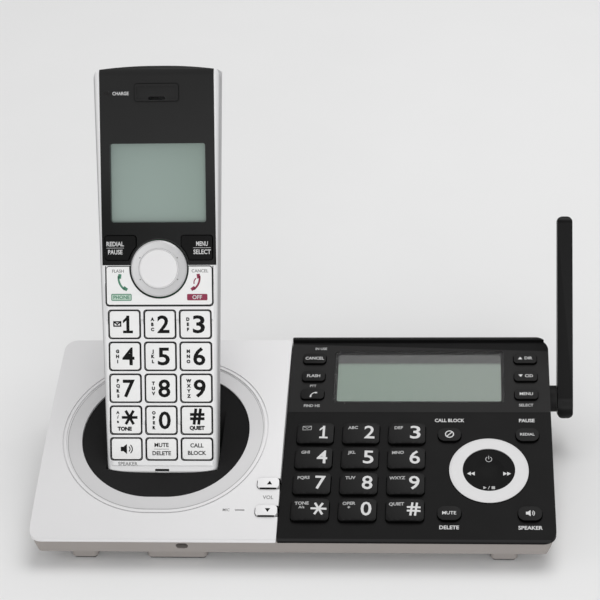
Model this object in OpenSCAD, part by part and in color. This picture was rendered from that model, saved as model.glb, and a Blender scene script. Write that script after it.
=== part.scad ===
// Cordless desk telephone: a two-tone base with a charging cradle, a hinged antenna,
// its own keypad and display, and a handset that lifts out of the cradle.
// Base sizes are taken from its left front corner on the desk. Handset sizes are taken
// from the middle of its lower front edge, with y going into the body and z along it.

/* [Base] */
// Width of the base
base_w = 215.4; // [205:0.2:230]
// Depth of the base
base_d = 102; // [98:0.5:112]
// Plan radius of the outer corners
corner_r = 5.5; // [5:0.5:9]
// Wall of the upper housings
wall = 2.4; // [1.8:0.1:2.8]
// Height of the stand-offs under the tray
foot_h = 5.5; // [4.5:0.1:6.5]
// Height of the tray's visible band
tray_h = 5.8; // [5:0.1:7]
// Step from the housings in to the tray
tray_inset = 0.8; // [0.4:0.1:1.4]
// Distance by which the tray's ends tuck in towards the bottom
tray_tuck = 3.2; // [2:0.1:4]
// Thickness of the tray's floor
tray_floor = 1.8; // [1.2:0.1:2.4]
// Thickness of the rubber pads
pad_t = 1.2; // [0.8:0.1:2]
// Width of a narrow foot
foot_w = 11; // [8:0.5:14]
// Width of the middle front foot
mid_foot_w = 25; // [16:0.5:28]
// Depth of a foot
foot_d = 8; // [6:0.5:10]
// Place of the line where the silver housing meets the black panel
split_x = 102.2; // [101:0.2:103.4]
// Gap between the two upper housings
split_gap = 0.4; // [0.2:0.1:0.6]

/* [Top surfaces] */
// Height of the top at the front edge above the tray
lip_h = 1.5; // [1.3:0.1:3]
// Radius of the front edge
lip_r = 1.5; // [1:0.1:1.5]
// Slope of the silver top at the front
silver_front_slope = 20; // [18:0.2:21]
// Slope of the silver top at the back
silver_back_slope = 10.8; // [9.5:0.2:13]
// Slope of the keypad face
keypad_slope = 14; // [12:0.2:15]
// Slope of the display face
display_slope = 18; // [16:0.2:20]
// Depth of the display face in plan
display_d = 37.6; // [36:0.2:39]
// Width of the rim behind the display face
rim_w = 1.4; // [1:0.1:2.4]
// Height of that rim above the display face
rim_h = 1.2; // [0.6:0.1:1.6]

/* [Cradle] */
// Middle of the dish from the left edge
dish_x = 51.2; // [50.6:0.1:52]
// Middle of the dish from the front edge
dish_y = 50.8; // [50:0.1:52]
// Outer radius of the ring round the dish
ring_r = 40.6; // [39.4:0.1:41]
// Inner radius of that ring
bowl_r = 32.4; // [31:0.1:33.5]
// Extra width of the dish over its depth
dish_stretch = 7; // [4:0.5:8]
// Drop of the ring's face below the top
ring_drop = 0.7; // [0.5:0.1:1]
// Width of the bead round the ring
bead_w = 1.1; // [0.8:0.1:1.6]
// Width and depth of the groove outside the bead
ring_groove = 0.5; // [0.3:0.1:0.7]
// Depth of the bowl's middle below the top
bowl_depth = 6; // [5.5:0.1:6.5]
// Step from the ring down to the bowl's edge
bowl_step = 0.2; // [0.1:0.05:0.4]
// Clearance round the bowl in its ring
bowl_gap = 0.15; // [0.1:0.05:0.3]
// Clearance round the handset in its pocket
pocket_gap = 0.45; // [0.35:0.05:0.6]
// Wall of the pocket
pocket_wall = 1.6; // [1.2:0.1:2]

/* [Base keys] */
// Clearance round a key
key_gap = 0.3; // [0.2:0.05:0.4]
// Thickness of a key's flange
flange_t = 1; // [0.8:0.1:1.2]
// Width of a key's flange
flange_w = 0.8; // [0.6:0.1:1]
// Room under the flanges for the domes
dome_gap = 1.2; // [1:0.1:1.4]
// Radius of the crowned key tops
crown_r = 70; // [50:1:120]
// Width of a dial key
dial_w = 15.6; // [14:0.2:16.6]
// Depth of a dial key
dial_h = 10.8; // [9.6:0.2:11]
// Corner radius of a dial key
dial_r = 1.8; // [1:0.1:3]
// Height of a dial key above the panel
dial_proud = 1.7; // [1.2:0.1:2]
// Column pitch of the dial keys
dial_pitch_x = 19.5; // [19:0.05:20]
// Row pitch of the dial keys
dial_pitch_s = 13.2; // [13:0.05:13.4]
// First dial column from the split line
dial_margin = 12.7; // [12:0.1:13.4]
// Front dial row from the front edge
dial_first_s = 13.2; // [12.8:0.1:13.6]
// Middle of the round control from the last dial column
dial_nav = 34.5; // [34:0.1:36]
// Crease of the panel from the back dial row
dial_back = 12.026; // [11.8:0.001:12.4]
// Width of a display key
side_key_w = 9.9; // [9:0.1:11]
// Depth of a display key
side_key_h = 5.2; // [4.6:0.1:5.6]
// Corner radius of a display key
side_key_r = 1.6; // [1:0.1:2.2]
// Height of a display key above the panel
side_key_proud = 1.2; // [0.8:0.1:1.6]
// Display key columns from the panel's sides
side_key_inset = 10.25; // [9.8:0.05:11]
// Front display key from the crease
side_key_s = 9.3; // [9:0.1:10]
// Pitch of the display keys
side_key_pitch = 9.55; // [8.6:0.05:10]
// Width of a corner key
corner_key_w = 9.6; // [9:0.1:10.4]
// Depth of a corner key
corner_key_h = 6.8; // [6:0.1:7.4]
// Corner radius of a corner key
corner_key_r = 3; // [2:0.1:3.2]
// Height of a corner key above the panel
corner_key_proud = 1.2; // [0.8:0.1:1.6]
// Corner keys from the middle of the round control, across
corner_key_x = 16.43; // [16:0.05:17]
// Back corner keys from the front edge
corner_back_s = 52.4; // [52:0.1:53.4]
// Front corner keys from the front edge
corner_front_s = 11.9; // [11:0.1:12.2]
// Width of a volume key
vol_w = 9; // [7:0.1:10]
// Depth of a volume key
vol_h = 4.8; // [4:0.1:5.4]
// Height of a volume key above the top
vol_proud = 0.9; // [0.6:0.1:1.2]
// Louder key from the front edge
vol_up_y = 25.6; // [24.5:0.1:27]
// Softer key from the front edge
vol_down_y = 13.1; // [12.5:0.1:14]

/* [Round control] */
// Outer radius of the silver ring
nav_r = 16.5; // [15.6:0.1:16.8]
// Radius of the black disc inside it
nav_disc_r = 10.9; // [10:0.1:12]
// Height of the ring above the panel
nav_proud = 0.8; // [0.7:0.1:1.4]
// Sink of the disc below the ring
nav_sink = 0.4; // [0.2:0.1:0.5]
// Middle of the control from the panel's right side
nav_inset = 26.8; // [26.6:0.1:27.6]
// Middle of the control from the front edge
nav_s = 34.1; // [33:0.1:35]

/* [Base display] */
// Width of the display window
lcd_w = 71.4; // [68:0.2:73]
// Height of the display window
lcd_h = 25; // [23:0.1:26]
// Middle of the window from the crease
lcd_s = 19.1; // [18.6:0.05:19.4]
// Overlap of the lens round the window
lens_lap = 1.4; // [1:0.1:1.8]
// Thickness of the lens
lens_t = 0.8; // [0.6:0.1:1.2]
// Clearance round the lens
lens_gap = 0.1; // [0.05:0.05:0.2]
// Thickness of the display module
lcd_t = 3; // [2.4:0.1:3.4]

/* [Antenna] */
// Width of the antenna seen from the front
ant_w = 6.6; // [5.5:0.1:8]
// Depth of the antenna at its tip
ant_tip_d = 6.4; // [5.4:0.1:8]
// Length from the pivot to the tip
ant_len = 80; // [60:1:110]
// Lean of the antenna from upright
ant_lean = 32; // [20:1:45]
// Radius of the pivot barrel
barrel_r = 5.75; // [5:0.05:6.5]
// Pivot from the back of the base
pivot_inset = 19; // [16:0.5:24]
// Height of the pivot above the tray
pivot_h = 11; // [9:0.5:13]
// Length of the boss that carries the pivot
boss_len = 3.4; // [1.6:0.1:4]
// Distance by which the antenna reaches below its pivot barrel
ant_heel = 3; // [2:0.1:3.4]
// Radius of the pivot pin
pin_r = 2.5; // [2:0.1:3]
// Running clearance of the pin
pin_gap = 0.05; // [0.03:0.01:0.08]
// Gap between faces that turn past each other
turn_gap = 0.3; // [0.3:0.05:0.5]

/* [Inside the base] */
// Thickness of a circuit board
board_t = 1.4; // [1:0.1:1.6]
// Height of the main board above the tray's floor
main_board_h = 3.5; // [3.3:0.1:4.4]
// Depth of the main board
main_board_d = 34; // [30:0.5:40]
// Left end of the main board from the split line
main_board_in = 58; // [56:0.5:62]
// Right end of the main board from the side of the base
main_board_out = 8; // [6:0.5:10]
// Sockets from the ends of the main board
socket_in = 14; // [13:0.1:15]
// Gap between a board and the walls round it
board_gap = 0.4; // [0.3:0.05:0.8]
// Middle of the loudspeaker from the split line
speaker_in = 33; // [30:0.5:34]
// Middle of the loudspeaker from the back of the base
speaker_back = 26; // [24:0.5:30]
// Radius of the loudspeaker
speaker_r = 19; // [15:0.5:21]
// Height of the loudspeaker
speaker_h = 9; // [7:0.5:10]
// Width of the line socket
socket_w = 9.8; // [9.4:0.1:10.4]
// Height of the line socket
socket_h = 6.8; // [6.4:0.1:7.4]
// Depth of the line socket
socket_d = 11.5; // [10:0.1:12.5]
// Wall of the socket block
socket_wall = 1.8; // [1.4:0.1:2.2]
// Bore radius of the power inlet
inlet_r = 3; // [2.6:0.1:3.2]
// Radius of the power inlet's centre pin
inlet_pin_r = 0.8; // [0.6:0.05:1]

/* [Handset] */
// Length of the handset
hs_len = 171; // [160:0.5:180]
// Width at the lower end
hs_w_low = 46.9; // [46:0.1:48]
// Width at the upper end
hs_w_top = 53.4; // [52:0.1:54]
// Width of the handset's board
hs_board_w = 39; // [36:0.5:40]
// Lower end of the handset's board
hs_board_low = 8.2; // [7:0.1:10]
// Upper end of the handset's board
hs_board_top = 148; // [146:0.5:152]
// Inward draft of the sides towards the back
hs_draft = 2; // [1:0.1:2.6]
// Thickness
hs_t = 26; // [25:0.1:28]
// Wall of the handset's shells
hs_wall = 2.2; // [2:0.1:2.4]
// Depth of the line where front and back shells meet
hs_part_y = 11; // [10.6:0.1:11.6]
// Lean of the handset in the cradle
hs_lean = 29.5; // [28:0.1:31]
// Lower front edge from the front of the base
seat_y = 34.5; // [34.2:0.1:35]
// Lower front edge above the tray
seat_h = 7.8; // [7.6:0.1:8.2]
// Corner radius of the outline at the lower end
hs_low_r = 2.5; // [2:0.1:5]
// Corner radius of the outline at the upper end
hs_top_r = 6; // [4:0.1:9]
// Radius of the arched upper end
hs_arch_r = 180; // [150:5:300]
// Radius of the long front edges
hs_edge_r = 3.5; // [3:0.1:4]
// Radius of the long back edges
hs_back_r = 9; // [7:0.1:11]
// Radius of the heel at the lower end
heel_r = 12; // [11:0.1:13]
// Flat under the lower end
heel_flat = 8; // [7:0.1:9]
// Height at which the back is at its full thickness
hs_waist_z = 72; // [66:0.5:80]

/* [Handset face] */
// Height of the face at which the black fascia starts
fascia_z = 88; // [87:0.1:89]
// Silver rail beside the fascia and the keys
rail_w = 1.6; // [1.4:0.1:2]
// Width of the fascia between the rails
fascia_w = 47.9; // [47.4:0.1:48.2]
// Width and depth of the grooves beside the keys
groove_w = 0.45; // [0.3:0.05:0.6]
// Depth to which the fascia wraps over the upper end
fascia_wrap = 5.5; // [4.5:0.1:7]
// Thickness of the fascia
fascia_t = 1; // [0.8:0.1:1.2]
// Clearance round the fascia
fascia_gap = 0.1; // [0.05:0.05:0.2]
// Width of the handset's window
hs_lcd_w = 40.1; // [38:0.1:41]
// Height of the handset's window
hs_lcd_h = 32.8; // [30:0.1:34]
// Middle of the window
hs_lcd_z = 122.2; // [121.5:0.1:123]
// Thickness of the handset's display
hs_lcd_t = 2; // [1.8:0.1:2.2]
// Width of the earpiece slot
ear_w = 7; // [5:0.1:10]
// Height of the earpiece slot
ear_h = 1.4; // [1:0.1:2]
// Height of the earpiece slot on the face
ear_z = 157.3; // [156:0.1:159]
// Width of the raised frame round the earpiece
ear_frame_w = 18.2; // [15:0.1:20]
// Height of that frame
ear_frame_h = 7; // [6:0.1:8]
// Middle of that frame
ear_frame_z = 159.7; // [159:0.1:160.4]

/* [Handset keys] */
// Clearance round a handset key
hs_key_gap = 0.4; // [0.3:0.05:0.45]
// Height of the keys above the face
hs_key_proud = 0.6; // [0.4:0.1:0.9]
// Width of a handset key
hs_key_w = 12.4; // [11.8:0.1:12.8]
// Height of a dial key
hs_key_h = 11.1; // [10.4:0.1:11.4]
// Height of a key in the lowest row
hs_low_key_h = 8.6; // [8:0.1:8.8]
// Corner radius of the handset keys
hs_key_r = 1.1; // [0.8:0.1:2]
// Column pitch of the handset keys
hs_pitch_x = 15; // [14.8:0.05:15.2]
// Row pitch of the handset keys
hs_pitch_z = 13.5; // [13.4:0.05:13.6]
// Middle of the lowest dial row
hs_dial_z = 22.6; // [22.4:0.1:22.8]
// Middle of the lowest row
hs_low_z = 10.4; // [10:0.1:10.6]
// Radius of the navigation pad
pad_r = 11.8; // [11:0.1:12]
// Radius of its middle
pad_mid_r = 8.2; // [7:0.1:9]
// Middle of the navigation pad
pad_z = 86.5; // [86:0.1:87]
// Width of the call plate
call_w = 44.3; // [43:0.1:44.6]
// Lower edge of the call plate
call_z = 71.4; // [71:0.1:72]
// Upper edge of the call plate
call_top_z = 87.3; // [86.6:0.1:87.4]
// Width of a soft key
soft_w = 12.9; // [12:0.1:13.2]
// Height of a soft key
soft_h = 10; // [9:0.1:10.4]
// Middle of the soft keys, across
soft_x = 16.1; // [15.8:0.1:16.2]
// Middle of the soft keys along the face
soft_z = 95.2; // [94.8:0.1:96]

/* [Battery] */
// Radius of a cell
cell_r = 5.2; // [5:0.05:5.3]
// Length of a cell
cell_len = 44.5; // [40:0.5:48]
// Width of the battery door
door_w = 34; // [30:0.5:36]
// Lower edge of the battery door
door_z = 52; // [50:0.5:54]
// Upper edge of the battery door
door_top_z = 112; // [108:0.5:118]
// Clearance round the battery door
door_gap = 0.3; // [0.2:0.05:0.4]
// Floor of the battery compartment
bay_floor = 1; // [0.8:0.1:1.2]
// Width of the door's grip ribs
grip_w = 14; // [10:0.5:20]
// Angle at which the door slides out of the back
door_slant = 30; // [25:1:35]

/* [Hidden] */
$fn = 64;
fine = 200;
eps = 0.01;
hair = 0.002;
far = 400;

// Heights and overall frame
parting_z = foot_h + tray_h;
floor_z = foot_h + tray_floor;
lip_z = parting_z + lip_h;
pivot_z = parting_z + pivot_h;
seat_z = parting_z + seat_h;
ant_x = base_w + boss_len + turn_gap;
overall_w = ant_x + ant_w;
hs_top_back_r = 12;
hs_top_front_r = 4;
hs_waist_r = 14;
hs_front_r = 1.2;
overall_d = seat_y + (hs_t - hs_top_back_r) * cos(hs_lean)
    + (hs_len - hs_top_back_r) * sin(hs_lean) + hs_top_back_r;

// Curve of the silver top
arc_r = (base_d - lip_r) / (sin(silver_front_slope) - sin(silver_back_slope));
arc_y = lip_r + arc_r * sin(silver_front_slope);
arc_z = lip_z - arc_r * cos(silver_front_slope);

// Faces of the black panel. What stands on them is fitted to the panel's own width and depth.
face_w = split_gap / 2 + dial_margin + 2 * dial_pitch_x + dial_nav + nav_inset;
face_d = lip_r + (dial_first_s + 3 * dial_pitch_s + dial_back) * cos(keypad_slope) + display_d;
fit_w = (base_w - split_x) / face_w;
fit_d = base_d / face_d;
fit = min(fit_w, fit_d);
crease_y = base_d - display_d * fit_d;
crease_z = lip_z + (crease_y - lip_r) * tan(keypad_slope);
rim_y = base_d - rim_w;
rim_z = crease_z + (rim_y - crease_y) * tan(display_slope);
key_seat = wall + key_gap;
keypad_board_n = key_seat + flange_t + dome_gap;
display_board_n = wall + lcd_t;
nav_x = base_w - nav_inset * fit_w;
nav_y = nav_s * fit_d;
nav_out_r = nav_r * fit;
nav_in_r = nav_disc_r * fit;
dial_cap = [dial_w * fit_w, dial_h * fit_d, dial_r * fit];
side_cap = [side_key_w * fit_w, side_key_h * fit_d, side_key_r * fit];
corner_cap = [corner_key_w * fit_w, corner_key_h * fit_d, corner_key_r * fit];
window_w = lcd_w * fit_w;
window_h = lcd_h * fit_d;
window_s = lcd_s * fit_d;
window_r = 1;
lens_r = 1.6;
nav_room = dome_gap / 2;
nav_seat = key_seat + nav_room;
nav_under = key_seat + nav_room + 0.8 * flange_t;
panel_mid_x = (split_x + base_w) / 2;
pivot_y = base_d - pivot_inset;

// Dish
// A ring on the curved top sinks this far at its front and back
function curve_sag(r) = arc_r - sqrt(arc_r * arc_r - r * r);
ring_land = 2.2;
ring_face_r = ring_r - ring_groove - bead_w;
ring_under = ring_drop + curve_sag(ring_r + ring_land) + wall;
bowl_edge_r = bowl_r - bowl_gap;
bowl_edge = ring_drop + curve_sag(bowl_r) + bowl_step;
bowl_sag = bowl_depth - bowl_edge;
bowl_sphere_r = (bowl_edge_r * bowl_edge_r + bowl_sag * bowl_sag) / (2 * bowl_sag);
bowl_floor = wall;
bowl_flange = 3;

// Rear sockets on the main board
main_board_z = floor_z + main_board_h;
main_board_x0 = split_x + main_board_in * fit_w;
main_board_x1 = base_w - main_board_out;
main_board_back_y = base_d - tray_inset - wall - board_gap;
main_board_front_y = main_board_back_y - main_board_d;
socket_x = main_board_x0 + socket_in * fit_w;
socket_z = main_board_z + board_t + socket_wall + socket_h / 2;
inlet_x = main_board_x1 - socket_in * fit_w;
inlet_block_w = 10;
inlet_z = main_board_z + board_t + inlet_block_w / 2;
inlet_d = 9;
inlet_gap = 0.4;
block_back_y = base_d - wall;
speaker_x = split_x + speaker_in * fit_w;
speaker_y = base_d - speaker_back;
speaker_out_r = speaker_r * fit;
// Share of the loudspeaker's radius that its cone has at both ends, and its magnet
cone_wide = 0.9;
cone_narrow = 0.5;
magnet = 0.45;
pin_collar = 1;
pin_head_t = 1.2;
pin_head_x = base_w - wall - pin_collar - turn_gap - pin_head_t;
face_board_in = 2;
face_board_x0 = split_x + split_gap / 2 + wall + face_board_in;
face_board_x1 = pin_head_x - board_gap;

// Feet: middle x, middle y and width of each
foot_in = 1.7;
foot_r = 2;
foot_y = tray_inset + foot_in + foot_d / 2;
foot_edge = 22;
foot_right_x = base_w - 21;
mid_foot_x = 60.4;
feet = [
    [foot_edge, foot_y, foot_w],
    [mid_foot_x, foot_y, mid_foot_w],
    [foot_right_x, foot_y, foot_w],
    [foot_edge, base_d - foot_y, foot_w],
    [foot_right_x, base_d - foot_y, foot_w]
];

// Handset derived sizes
hs_flange_t = 0.8;
hs_key_seat = hs_wall + hs_key_gap;
hs_board_y = hs_wall + hs_lcd_t;
taper = atan((hs_w_top - hs_w_low) / 2 / hs_len);
cell_z = (door_z + door_top_z) / 2 - cell_len / 2 + 2;
tray_wall_y = hs_part_y + bay_floor;
bay_gap = 0.3;
bay_wall = 1.8;
bay_w = 4 * cell_r + 2 * bay_gap;

// Names, columns and rows of the two dial keypads
dial_names = ["star", "0", "hash", "7", "8", "9", "4", "5", "6", "1", "2", "3"];
dial_nodes = [for (n = dial_names) str("dial_key_", n)];
hs_dial_nodes = [for (n = dial_names) str("handset_key_", n)];
// Display keys: name, side and place from the crease
side_keys = [
    ["find_key", -1, 0], ["flash_key", -1, 1], ["cancel_key", -1, 2],
    ["menu_key", 1, 0], ["down_key", 1, 1], ["up_key", 1, 2]
];
// Corner keys: name, side of the round control, and distance from the front edge
corner_keys = [
    ["mute_key", -1, corner_front_s * fit_d], ["speaker_key", 1, corner_front_s * fit_d],
    ["call_block_key", -1, corner_back_s * fit_d], ["redial_key", 1, corner_back_s * fit_d]
];
vol_keys = [["volume_up_key", vol_up_y], ["volume_down_key", vol_down_y]];
hs_low_keys = ["handset_speaker_key", "handset_mute_key", "handset_block_key"];
soft_keys = [["handset_soft_key_left", -1], ["handset_soft_key_right", 1]];

// Outlines

function right_of(u) = [u[1], -u[0]];

// Unit normal of the outer tangent from circle p to circle q, each given as [x, y, r]
function tangent_normal(p, q) =
    let (d = [q[0] - p[0], q[1] - p[1]], l = norm(d), u = d / l, k = (p[2] - q[2]) / l)
    u * k + right_of(u) * sqrt(1 - k * k);

// Outline drawn tight round circles that are listed anticlockwise, grown by a margin.
// The circles are a hair larger, so that they cross the flats and don't just touch them.
module rounded(corners, grow = 0) {
    n = len(corners);
    polygon([
        for (i = [0 : n - 1], end = [0, 1])
            let (p = corners[i], q = corners[(i + 1) % n], c = end == 0 ? p : q)
            [c[0], c[1]] + (c[2] + grow) * tangent_normal(p, q)
    ]);
    for (c = corners) translate([c[0], c[1]]) circle(r = c[2] + grow + hair);
}

// Rectangle with its own radius at the left and right corners
function frame_corners(x0, x1, y0, y1, rl, rr) = [
    [x0 + rl, y0 + rl, rl], [x1 - rr, y0 + rr, rr], [x1 - rr, y1 - rr, rr], [x0 + rl, y1 - rl, rl]
];

function pill(w, h, r) = frame_corners(-w / 2, w / 2, -h / 2, h / 2, r, r);

// Frames of reference

module base_frame() translate([-overall_w / 2, -overall_d / 2, 0]) children();

module on_keypad(x, s)
    base_frame() translate([x, lip_r, lip_z]) rotate([keypad_slope, 0, 0]) translate([0, s, 0]) children();

module on_display(x, s)
    base_frame() translate([x, crease_y, crease_z]) rotate([display_slope, 0, 0])
        translate([0, s, 0]) children();

function silver_slope(y) = asin((arc_y - y) / arc_r);
function silver_z(y) = arc_z + arc_r * cos(silver_slope(y));

module on_silver(x, y)
    base_frame() translate([x, y, silver_z(y)]) rotate([silver_slope(y), 0, 0]) children();

module handset_frame()
    base_frame() translate([dish_x, seat_y, seat_z]) rotate([-hs_lean, 0, 0]) children();

// Turns a profile drawn in depth and height into a bar along the width
module bar(x0, x1) translate([x0, 0, 0]) rotate([90, 0, 90]) linear_extrude(x1 - x0) children();

// Turns an outline drawn in width and height into a plate that goes back from y0 to y1
module plate(y0, y1) translate([0, y1, 0]) rotate([90, 0, 0]) linear_extrude(y1 - y0) children();

// Base housings

silver_split = split_x - split_gap / 2;
panel_split = split_x + split_gap / 2;
split_r = 0.6;
inner_r = 0.8;

module silver_plan(inset)
    rounded(frame_corners(inset, silver_split - inset, inset, base_d - inset,
        corner_r - inset, inset > 0 ? inner_r : split_r));

module panel_plan(inset)
    rounded(frame_corners(panel_split + inset, base_w - inset, inset, base_d - inset,
        inset > 0 ? inner_r : split_r, corner_r - inset));

// Side profile under the silver top, with a rounded front edge
module silver_profile() {
    lip_cz = arc_z + sqrt(pow(arc_r - lip_r, 2) - pow(arc_y - lip_r, 2));
    reach = arc_r / (arc_r - lip_r);
    touch = [arc_y + (lip_r - arc_y) * reach, arc_z + (lip_cz - arc_z) * reach];
    intersection() {
        translate([arc_y, arc_z]) circle(r = arc_r, $fn = 720);
        polygon([[0, parting_z], [base_d, parting_z], [base_d, arc_z + arc_r], [touch[0], arc_z + arc_r],
            touch, [0, lip_cz]]);
    }
    translate([lip_r, lip_cz]) circle(r = lip_r);
}

// Side profile under the panel: keypad face, display face and rim
module panel_profile() {
    lip_cz = lip_z - lip_r / cos(keypad_slope);
    touch = [lip_r - lip_r * sin(keypad_slope), lip_cz + lip_r * cos(keypad_slope)];
    polygon([
        [0, parting_z], [base_d, parting_z],
        [base_d, rim_z + rim_h + rim_w * tan(display_slope)],
        [rim_y, rim_z + rim_h], [rim_y, rim_z],
        [crease_y, crease_z], touch, [0, lip_cz]
    ]);
    translate([lip_r, lip_cz]) circle(r = lip_r);
}

// Half-revolved and stretched body from a profile of radius and height
module dish_revolve() {
    for (side = [-1, 1])
        translate([side * dish_stretch / 2, 0, 0]) rotate([0, 0, side * 90 - 180])
            rotate_extrude(angle = 180, $fn = fine) children();
    bar(-dish_stretch / 2, dish_stretch / 2) {
        children();
        mirror([1, 0]) children();
    }
}

module on_dish() on_silver(dish_x, dish_y) children();

// Land under the ring that carries it
module ring_land()
    on_dish() dish_revolve()
        polygon([[bowl_r, -ring_under], [ring_r + ring_land, -ring_under],
            [ring_r + ring_land, 0], [bowl_r, 0]]);

// Upright column over the dish's outline
module dish_column(r)
    on_dish() translate([0, 0, -far]) linear_extrude(2 * far)
        rounded([[-dish_stretch / 2, 0, r], [dish_stretch / 2, 0, r]]);

// Space above the curved top, from a depth below it
module above_top(depth)
    base_frame() bar(0, base_w) difference() {
        translate([-far, 0]) square([2 * far, far]);
        translate([arc_y, arc_z]) circle(r = arc_r - depth, $fn = 720);
    }

// Hole of the bowl, sunken face of the ring, and the groove that leaves a bead along its outer edge
module ring_cut() {
    dish_column(bowl_r);
    intersection() {
        dish_column(ring_face_r);
        above_top(ring_drop);
    }
    intersection() {
        difference() {
            dish_column(ring_r);
            dish_column(ring_r - ring_groove);
        }
        above_top(ring_groove);
    }
}

module silver_body(plan_inset, drop)
    base_frame() intersection() {
        translate([0, 0, parting_z - (drop > 0 ? wall : 0)]) linear_extrude(far) silver_plan(plan_inset);
        bar(0, base_w) translate([0, -drop]) silver_profile();
    }

// Hole and slot in the silver top for the volume keys and the microphone
mic_w = 4;
mic_h = 0.6;
mic_in = 15.8;
mic_up = 0.5;
mic_x = silver_split - mic_in;
mic_y = vol_down_y + mic_up;
vol_x = silver_split - vol_w / 2 - key_gap;

module silver_openings() {
    for (k = vol_keys)
        on_silver(vol_x, k[1]) translate([0, 0, -key_seat - flange_t - dome_gap]) linear_extrude(far)
            rounded(frame_corners(-vol_w / 2 - key_gap, vol_w / 2 + key_gap + wall,
                -vol_h / 2 - key_gap, vol_h / 2 + key_gap, dial_r, dial_r));
    on_silver(mic_x, mic_y) translate([0, 0, -2 * wall]) linear_extrude(far)
        rounded(pill(mic_w, mic_h, mic_h / 2 - eps));
}

// Silver left housing with the moulded ring of the dish
module silver_housing() color("gainsboro") difference() {
    union() {
        difference() {
            silver_body(0, 0);
            silver_body(wall, wall);
        }
        intersection() {
            silver_body(0, 0);
            ring_land();
        }
    }
    ring_cut();
    silver_openings();
}

// Black right housing with the keypad and display faces
post_r = 1.2;
post_clear = 2;
panel_posts = [
    for (x = [dial_x(0.5), nav_x - nav_out_r - post_clear - post_r], s = [dial_s(0.5), dial_s(2.5)]) [x, s]
];

module panel_body(plan_inset, drop)
    base_frame() intersection() {
        translate([0, 0, parting_z - (drop > 0 ? wall : 0)]) linear_extrude(far) panel_plan(plan_inset);
        bar(0, base_w) translate([0, -drop]) panel_profile();
    }

function dial_x(column) = panel_split + (dial_margin + column * dial_pitch_x) * fit_w;
function dial_s(row) = (dial_first_s + row * dial_pitch_s) * fit_d;
function side_key_x(side) =
    side < 0 ? panel_split + side_key_inset * fit_w : base_w - side_key_inset * fit_w;
function side_key_y(row) = (side_key_s + row * side_key_pitch) * fit_d;
function corner_x(side) = nav_x + side * corner_key_x * fit_w;

module keypad_holes() on_keypad(0, 0) translate([0, 0, -2 * wall]) linear_extrude(4 * wall) {
    for (column = [0 : 2], row = [0 : 3])
        translate([dial_x(column), dial_s(row)])
            rounded(pill(dial_cap[0], dial_cap[1], dial_cap[2]), key_gap);
    for (k = corner_keys)
        translate([corner_x(k[1]), k[2]])
            rounded(pill(corner_cap[0], corner_cap[1], corner_cap[2]), key_gap);
    translate([nav_x, nav_y]) circle(r = nav_out_r + key_gap);
}

module display_holes() on_display(0, 0) {
    translate([0, 0, -2 * wall]) linear_extrude(4 * wall) {
        for (k = side_keys)
            translate([side_key_x(k[1]), side_key_y(k[2])])
                rounded(pill(side_cap[0], side_cap[1], side_cap[2]), key_gap);
        translate([panel_mid_x, window_s]) rounded(pill(window_w, window_h, window_r));
    }
    translate([panel_mid_x, window_s, -lens_t]) linear_extrude(wall)
        rounded(pill(window_w + 2 * lens_lap, window_h + 2 * lens_lap, lens_r), lens_gap);
}

// Windows in the back wall for the line socket and the power inlet
module rear_windows() base_frame() {
    translate([socket_x - socket_w / 2, base_d - 2 * wall, socket_z - socket_h / 2])
        cube([socket_w, 4 * wall, socket_h]);
    translate([inlet_x, base_d + wall, inlet_z]) rotate([90, 0, 0])
        cylinder(r = inlet_r + inlet_gap, h = 3 * wall);
}

module pivot_axis(x0, x1, r)
    translate([x0, pivot_y, pivot_z]) rotate([0, 90, 0]) cylinder(r = r, h = x1 - x0);

module control_panel() color("#2a2a2d") difference() {
    union() {
        difference() {
            panel_body(0, 0);
            panel_body(wall, wall);
        }
        base_frame() pivot_axis(base_w - wall - pin_collar, base_w + boss_len, barrel_r);
        intersection() {
            panel_body(0, 0);
            for (p = panel_posts)
                on_keypad(p[0], p[1]) translate([0, 0, -keypad_board_n])
                    cylinder(r = post_r, h = keypad_board_n - wall / 2);
        }
    }
    keypad_holes();
    display_holes();
    rear_windows();
    base_frame() pivot_axis(base_w - far, base_w + far, pin_r + pin_gap);
}

// Grey tray that closes the base from below
screw_r = 3.2;
screw_depth = 1.2;
screw_boss_r = 5;
screw_boss_h = 2;
screw_x = 14;
screw_y = 24;
screws = [for (x = [screw_x, base_w - screw_x], y = [screw_y, base_d - screw_y]) [x, y]];
board_post_r = 2.5;
board_post_in = 4;
grille_pitch = 4;
grille_slot = 1.8;
grille_in = 3;
latch_x = 63.2;
latch_w = 5;
latch_h = 2.6;
latch_drop = 1.3;

module tray_plan(inset)
    rounded(frame_corners(inset, base_w - inset, inset, base_d - inset,
        corner_r - inset, corner_r - inset));

// Tray body with ends that tuck in towards the bottom
module tray_body(inset, z)
    intersection() {
        translate([0, 0, z]) linear_extrude(tray_h) tray_plan(inset);
        plate(-1, base_d + 1) polygon([
            [inset - 1, parting_z + tray_h], [inset - 1, parting_z], [inset, parting_z],
            [inset + tray_tuck, foot_h], [base_w - inset - tray_tuck, foot_h],
            [base_w - inset, parting_z], [base_w - inset + 1, parting_z],
            [base_w - inset + 1, parting_z + tray_h]
        ]);
    }

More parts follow.
